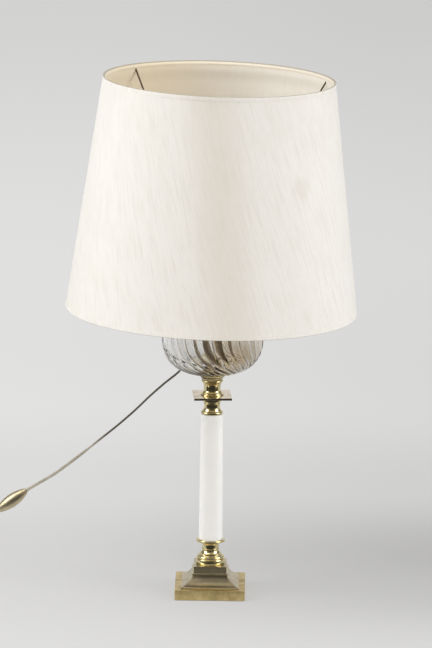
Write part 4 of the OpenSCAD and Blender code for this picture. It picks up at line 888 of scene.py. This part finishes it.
plug_sleeve = sleeve("plug_sleeve", rest_way[s_rest >= s_rest[-1] - 0.026], 2.5, 4.6)
keep(cord_lamp, "stand", DARK_END_SHEATH, "cord_lamp_side", slot="cord_sheath")
keep(cord_rest, "stand", SHEATH, "cord_floor_side", "cord_coil", "cord_plug_tail",
     slot="cord_sheath")
keep(plug_sleeve, "stand", TAN)
nodes = frame["nodes"]
print("cord pieces made")

# %% [markdown]
# ## Base
# The base was cast in three steps and filed by hand, so its corners are soft and its faces carry
# file marks. A square plate with rounded corners is a stack of rounded squares, one for each
# point of the outline from the middle of the underside to the middle of the top.

# %% Plinth, riser and abacus plate
def squared(name, outline, corner, turn=0.0):
    """Rounded squares stacked along an open outline of (half width, height), closed by a point
    at its two ends."""
    o = np.asarray(outline, float)
    grid = square_ring(o[:, 0], o[:, 1], corner)
    c, s = np.cos(np.radians(turn)), np.sin(np.radians(turn))
    grid = grid @ np.array([[c, s, 0], [-s, c, 0], [0, 0, 1]]) * MM
    return surface(name, grid, poles=[(0, 0, o[k, 1] * MM) for k in (0, -1)])


def opened(outline, radius=0.5):
    """Eases an open outline: the two ends stay as they are."""
    return eased(outline, radius, keep=(0, len(outline) - 1))


plinth = squared("plinth", opened([(1, 7.5), (26, 7.5), (26, 0.5), (42.5, 0.5), (42.5, 12.6),
                                   (1, 12.6)], 0.7), 0.9)
keep(plinth, "stand", SATIN, "base_plinth", slot="cast_brass")

riser = squared("riser", opened(profile(
    0, (1, 12.6), (35, 12.6), (35, 14.1), (21.4, 26.4, -2.4, 14), (22.1, 26.4), (22.1, 28.2),
    (20, 28.2), (20, 36.4), (1, 36.4)), 0.4), 0.6)
keep(riser, "stand", DARK, "base_riser", slot="dark_brass")

abacus = squared("abacus", opened([(1, 243.9), (22.85, 243.9), (22.85, 246.7), (1, 246.7)], 0.4),
                 0.5, turn=3.9)
keep(abacus, "stand", PLATE, "abacus_plate", slot="cast_brass")
print("base and abacus:", [len(o.data.polygons) for o in (plinth, riser, abacus)], "faces")

# %% [markdown]
# ## Turnings
# The foot, the capital and the vase are turned brass, kept bright. Each is one outline carried
# round the axis. Hollows and bulges in the outline are arcs, and every arris is eased.

# %% Foot, shaft, capital and vase
BORE = 5.25


def turned(name, outline, material, slot, node_name, radius=0.35):
    """A turning with a bore for the tie rod, its arrises eased."""
    o = [(BORE, outline[0][1]), *outline, (BORE, outline[-1][1])]
    keep(lathe(name, eased(o, radius, steps=3)), "stand", material, node_name, slot=slot)


foot = profile(36.4, (17.1, 0), (17.1, 6.6, 0.6), (15.9, 6.6), (15.9, 10, 0.6),
               (13.6, 11.4, -0.3, 4), (13.6, 13), (12.5, 13), (10.1, 18.2, -0.6),
               (10.1, 19.4, 0.6, 6), (10.1, 24.4), (17.3, 27.6, -0.9), (17.4, 30, 0.3, 4),
               (15.3, 30), (15.3, 30.4))
shaft = [(14.6, 66.8), (14.05, 144.8), (13.5, 222.9)]
capital = profile(222.9, (12.25, 0), (12.25, 3.7, 1.1), (11.4, 3.7), (9.8, 10.9, -0.7),
                  (9.8, 12.6), (9.8, 13.9, 0.6, 10), (11.9, 16.1, -0.6, 5), (11.9, 21))
vase = profile(246.7, (13.8, 0), (13.8, 1.5, 0.3, 4), (12, 1.5), (12, 2.7), (10.3, 6.3, -0.5),
               (10.3, 9.3), (12, 15.9, -0.4), (12.5, 15.9), (12.5, 18.5, 0.6), (9.3, 18.5),
               (9.3, 11.5))
turned("foot_turning", foot, POLISHED, "polished_brass", "column_foot")
turned("stone_shaft", shaft, STONE, "white_stone", "column_shaft", radius=0.6)
turned("capital", capital, POLISHED, "polished_brass", "capital_turning")
turned("vase", vase, POLISHED, "polished_brass", "vase_turning")
print("turnings made")

# %% [markdown]
# ## Glass font
# The font was pressed in a mould with thirty-two ribs. Each rib leans gently over the bowl and
# then sweeps round towards the foot. This is the piece that takes most skill: all that shows the
# ribs is how they bend the light and break up the wick tube behind them. The surface is one grid,
# with the radius cut back in a sharp groove between the ribs.

# %% Ribbed glass
A, LOW, HIGH, WAIST, FULL = 61.4, 51.0, 33.0, 323.4, 2.8
WALL, GROOVE, RIBS = 3.8, 2.2, 32
PEG_Z, FOOT_Z, NECK_Z, RIM_Z = 259.2, 266.6, 357.0, 359.9
WAIST_R, NECK_R, BORE_R = 18.5, 29.0, 25.2


def bowl(start, end, steps, way, inset=0.0):
    """r = A cos(t)^(2 / FULL) and z = WAIST + way * depth * sin(t)^(2 / FULL), t from start to
    end, all of it set in by inset."""
    t = np.linspace(start, end, steps)
    depth = (HIGH if way > 0 else LOW) - inset
    return np.stack([(A - inset) * np.cos(t) ** (2 / FULL),
                     WAIST + way * depth * np.sin(t) ** (2 / FULL)], 1)


def angle_at(r, a):
    """The angle t at which a bowl of greatest radius a has the radius r."""
    return np.arccos((r / a) ** (FULL / 2))


def font_outline():
    """Outside of the font from the peg to the rim, then its inside down to the bottom."""
    peg = [(8.3, PEG_Z), (8.3, 262.2), (8.3, 264.9), (8.6, 265.2), (12.2, 265.2), (12.62, 265.35),
           (12.8, 265.8), (12.8, FOOT_Z)]
    funnel = bow((12.8, FOOT_Z), (WAIST_R, 271.9), -0.5, 10)
    waist = [(WAIST_R, 271.9), (19.4, 272.32), (20.8, 272.6)]
    rim = [(NECK_R, NECK_Z), (NECK_R, 359.4), (28.6, 359.85), (27.0, RIM_Z), (25.7, 359.85),
           (BORE_R, 359.4), (BORE_R, NECK_Z)]
    return np.vstack([peg, funnel, waist,
                      bowl(angle_at(WAIST_R * 1.22, A), 0.02, 70, -1),
                      bowl(0, angle_at(NECK_R, A), 36, 1), rim,
                      bowl(angle_at(BORE_R, A - WALL), 0, 20, 1, WALL),
                      bowl(0.06, np.radians(88.6), 36, -1, WALL)])


def ribbed_font(around=512):
    """Each outline point goes round the axis. Outside it is turned by 8 u + 55 u^3 degrees,
    with u the depth below the waist, and drawn in by groove * (1 - |sin 16 a|^0.9). The
    grooves die out in the foot and under the neck."""
    o = font_outline()
    last_out = int(np.argmax(o[:, 1]))
    r, z = o[:, :1], o[:, 1:]
    u = np.clip((WAIST - z) / LOW, -1, 1)
    outside = (np.arange(len(o)) <= last_out)[:, None]
    foot_fade, neck_fade, grooved_to = 8.48, 8.25, 354.9
    groove = (GROOVE * np.clip((z - FOOT_Z) / foot_fade, 0, 1)
              * np.clip((grooved_to - z) / neck_fade, 0, 1) * np.sqrt(r / A)) * outside
    a = np.arange(around) * TAU / around
    rib = np.abs(np.sin(RIBS / 2 * a))[None, :]
    angle = a[None, :] + np.radians(8 * u + 55 * u ** 3 - 90) * outside
    return surface("glass_font_ribbed", rings(r - groove * (1 - rib ** 0.9), z, angle) * MM,
                   poles=[(0, 0, z * MM) for z in (PEG_Z, WAIST - LOW + WALL)])


font = ribbed_font()
keep(font, "stand", GLASS, "glass_font", slot="clear_glass")
print("font:", len(font.data.polygons), "faces")

# %% [markdown]
# ## Shade
# The shade is one sheet of cloth on backing, rolled into a cone and overlapped in a seam, with a
# lining inside and a folded hem at each edge. It sits a little askew on its thin arms. The cone
# is drawn true, and then moved in and out by a fraction of a millimetre, because a rolled sheet
# is never quite round.

# %% Cone of the shade
RING_Z, LEAN = 438.796, np.radians(1.4)
SHADE_LOW, SHADE_HIGH = 351.8, 631.4
RING_TUCK = 3.6
CONE_LOW_R, CONE_LOW_Z, CONE_NARROWS, CONE_HEIGHT = 174.5, 353.596, 36.0, 275.0
MIDDLE_R = 0.1565


def cone_radius(z):
    """Radius of the true cone at a height."""
    return CONE_LOW_R - CONE_NARROWS * (z - CONE_LOW_Z) / CONE_HEIGHT


def leaned(p):
    """Turns points about the carrier ring by the lean, to the left at the top."""
    x, y, z = p[..., 0], p[..., 1], p[..., 2] - RING_Z
    c, s = np.cos(LEAN), np.sin(LEAN)
    return np.stack([x * c + z * s, y, z * c - x * s + RING_Z], -1)


def wobble(a, z):
    """How far the sheet stands off the true cone: two slow waves round it, of 0.25 mm."""
    return 0.16 * np.sin(2 * a + 0.6 + z * 0.004) + 0.09 * np.sin(5 * a + 2.0)


def round_cone(name, off, z, v, start=0.0, around=360):
    """Carries an outline round the cone: off is how far each point stands outside it, z its
    height and v its length along the outline."""
    a = np.arange(around) * TAU / around + start
    r = (cone_radius(z) + off)[:, None] + wobble(a, z[:, None])
    return surface(name, leaned(rings(r, z[:, None], a)) * MM, wrap_rows=True,
                   u=np.arange(around + 1) * TAU / around * MIDDLE_R, v=v * MM)


def cone_sheet(name, inset, thick, low, high, tuck=0.0, rows=72):
    """A closed sheet: its outer face from the low to the high edge, then its inner face back.
    The rows are closest near both edges. tuck draws the sheet in over the wire rings: a slope
    2.6 mm long at the edge, then an eased step back, 16 mm long, below the ring."""
    z = low + (high - low) * (1 - np.cos(np.pi * np.arange(rows) / (rows - 1))) / 2
    z = np.concatenate([z, z[::-1]])
    back = np.concatenate([np.zeros(rows), np.full(rows, thick)]) + inset
    for edge in (low, high):
        far = abs(z - edge)
        back = back + tuck * ease(24 - far, 0, 16) * np.clip(far / 2.6, 0, 1)
    return round_cone(name, -back, z, np.append(z, z[0]), np.radians(139))


def hem_band(name, edge, way, width=5.0, thick=0.4):
    """The folded band round an edge: a U of cloth over the two sheets and the wire ring
    between them, its fold rounded."""
    far, sheet = edge + way * width, edge + way * thick
    slope, inside = edge + way * 3.0, -1.0 - RING_TUCK
    o = [(thick, far), (thick, edge + way * 0.35), (thick * 0.6, edge), (-0.5, edge),
         (-1.0 - thick * 0.6, edge), (-1.0 - thick, edge + way * 0.35), (inside - thick, slope),
         (inside - thick, far), (inside, far), (inside, slope), (-1.0, sheet), (0.0, sheet),
         (0.0, far)]
    o = eased(o, 0.12, steps=2)
    return round_cone(name, o[:, 0], o[:, 1], lengths_along(o, closed=True))


cover = cone_sheet("shade_cloth_cover", 0.0, 0.5, SHADE_LOW + 0.4, SHADE_HIGH - 0.4)
lining = cone_sheet("shade_cloth_lining", 0.5, 0.5, SHADE_LOW + 0.4, SHADE_HIGH - 0.4,
                    tuck=RING_TUCK)
hem_top = hem_band("hem_top", SHADE_HIGH, -1)
hem_low = hem_band("hem_low", SHADE_LOW, 1)
keep(cover, "shade", CLOTH, "shade_cover", slot="shade_fabric")
keep(lining, "shade", LINING, "shade_lining", slot="lining_fabric")
keep(hem_top, "shade", HEM, "shade_hem_top", slot="shade_fabric")
keep(hem_low, "shade", HEM, "shade_hem_bottom", slot="shade_fabric")
print("shade made")

# %% [markdown]
# ## Carried-over parts
# The burner, the holder, the bulb, the carrier, the switch and all that is hidden keep their
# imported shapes, which were drawn from the same sizes. They only need their finish.

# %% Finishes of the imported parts
packed = (
    (FELT, "base_felt"), (CEMENT, "font_cement"), (SOOTY, "wick_tube"),
    (STEEL, "tie_washer tie_nut tie_rod holder_nipple switch_screws"),
    (BURNER, "font_collar burner_base burner_gallery adaptor_cap holder_cap"),
    (BURNER, "wick_shaft wick_knob holder_contact"),
    (BLACKISH, "cord_bush holder_shell shade_nut_lower shade_nut_upper"),
    (CERAMIC, "holder_core"), (NICKEL, "bulb_cap plug_pins"), (BULB, "bulb_glass"),
    (WIRE, "carrier_ring carrier_arm_right carrier_arm_left carrier_arm_front"),
    (TAPE, "shade_top_ring shade_bottom_ring"), (PALE, "switch_rocker"),
    (GILT, "switch_case_front switch_case_back"), (TAN, "plug_body"))
pairs = [(nodes[name], material) for material, names in packed for name in names.split()]
for part, material in pairs:
    for slot in part.material_slots:
        slot.material = material
print("finished", len(pairs), "packed parts")
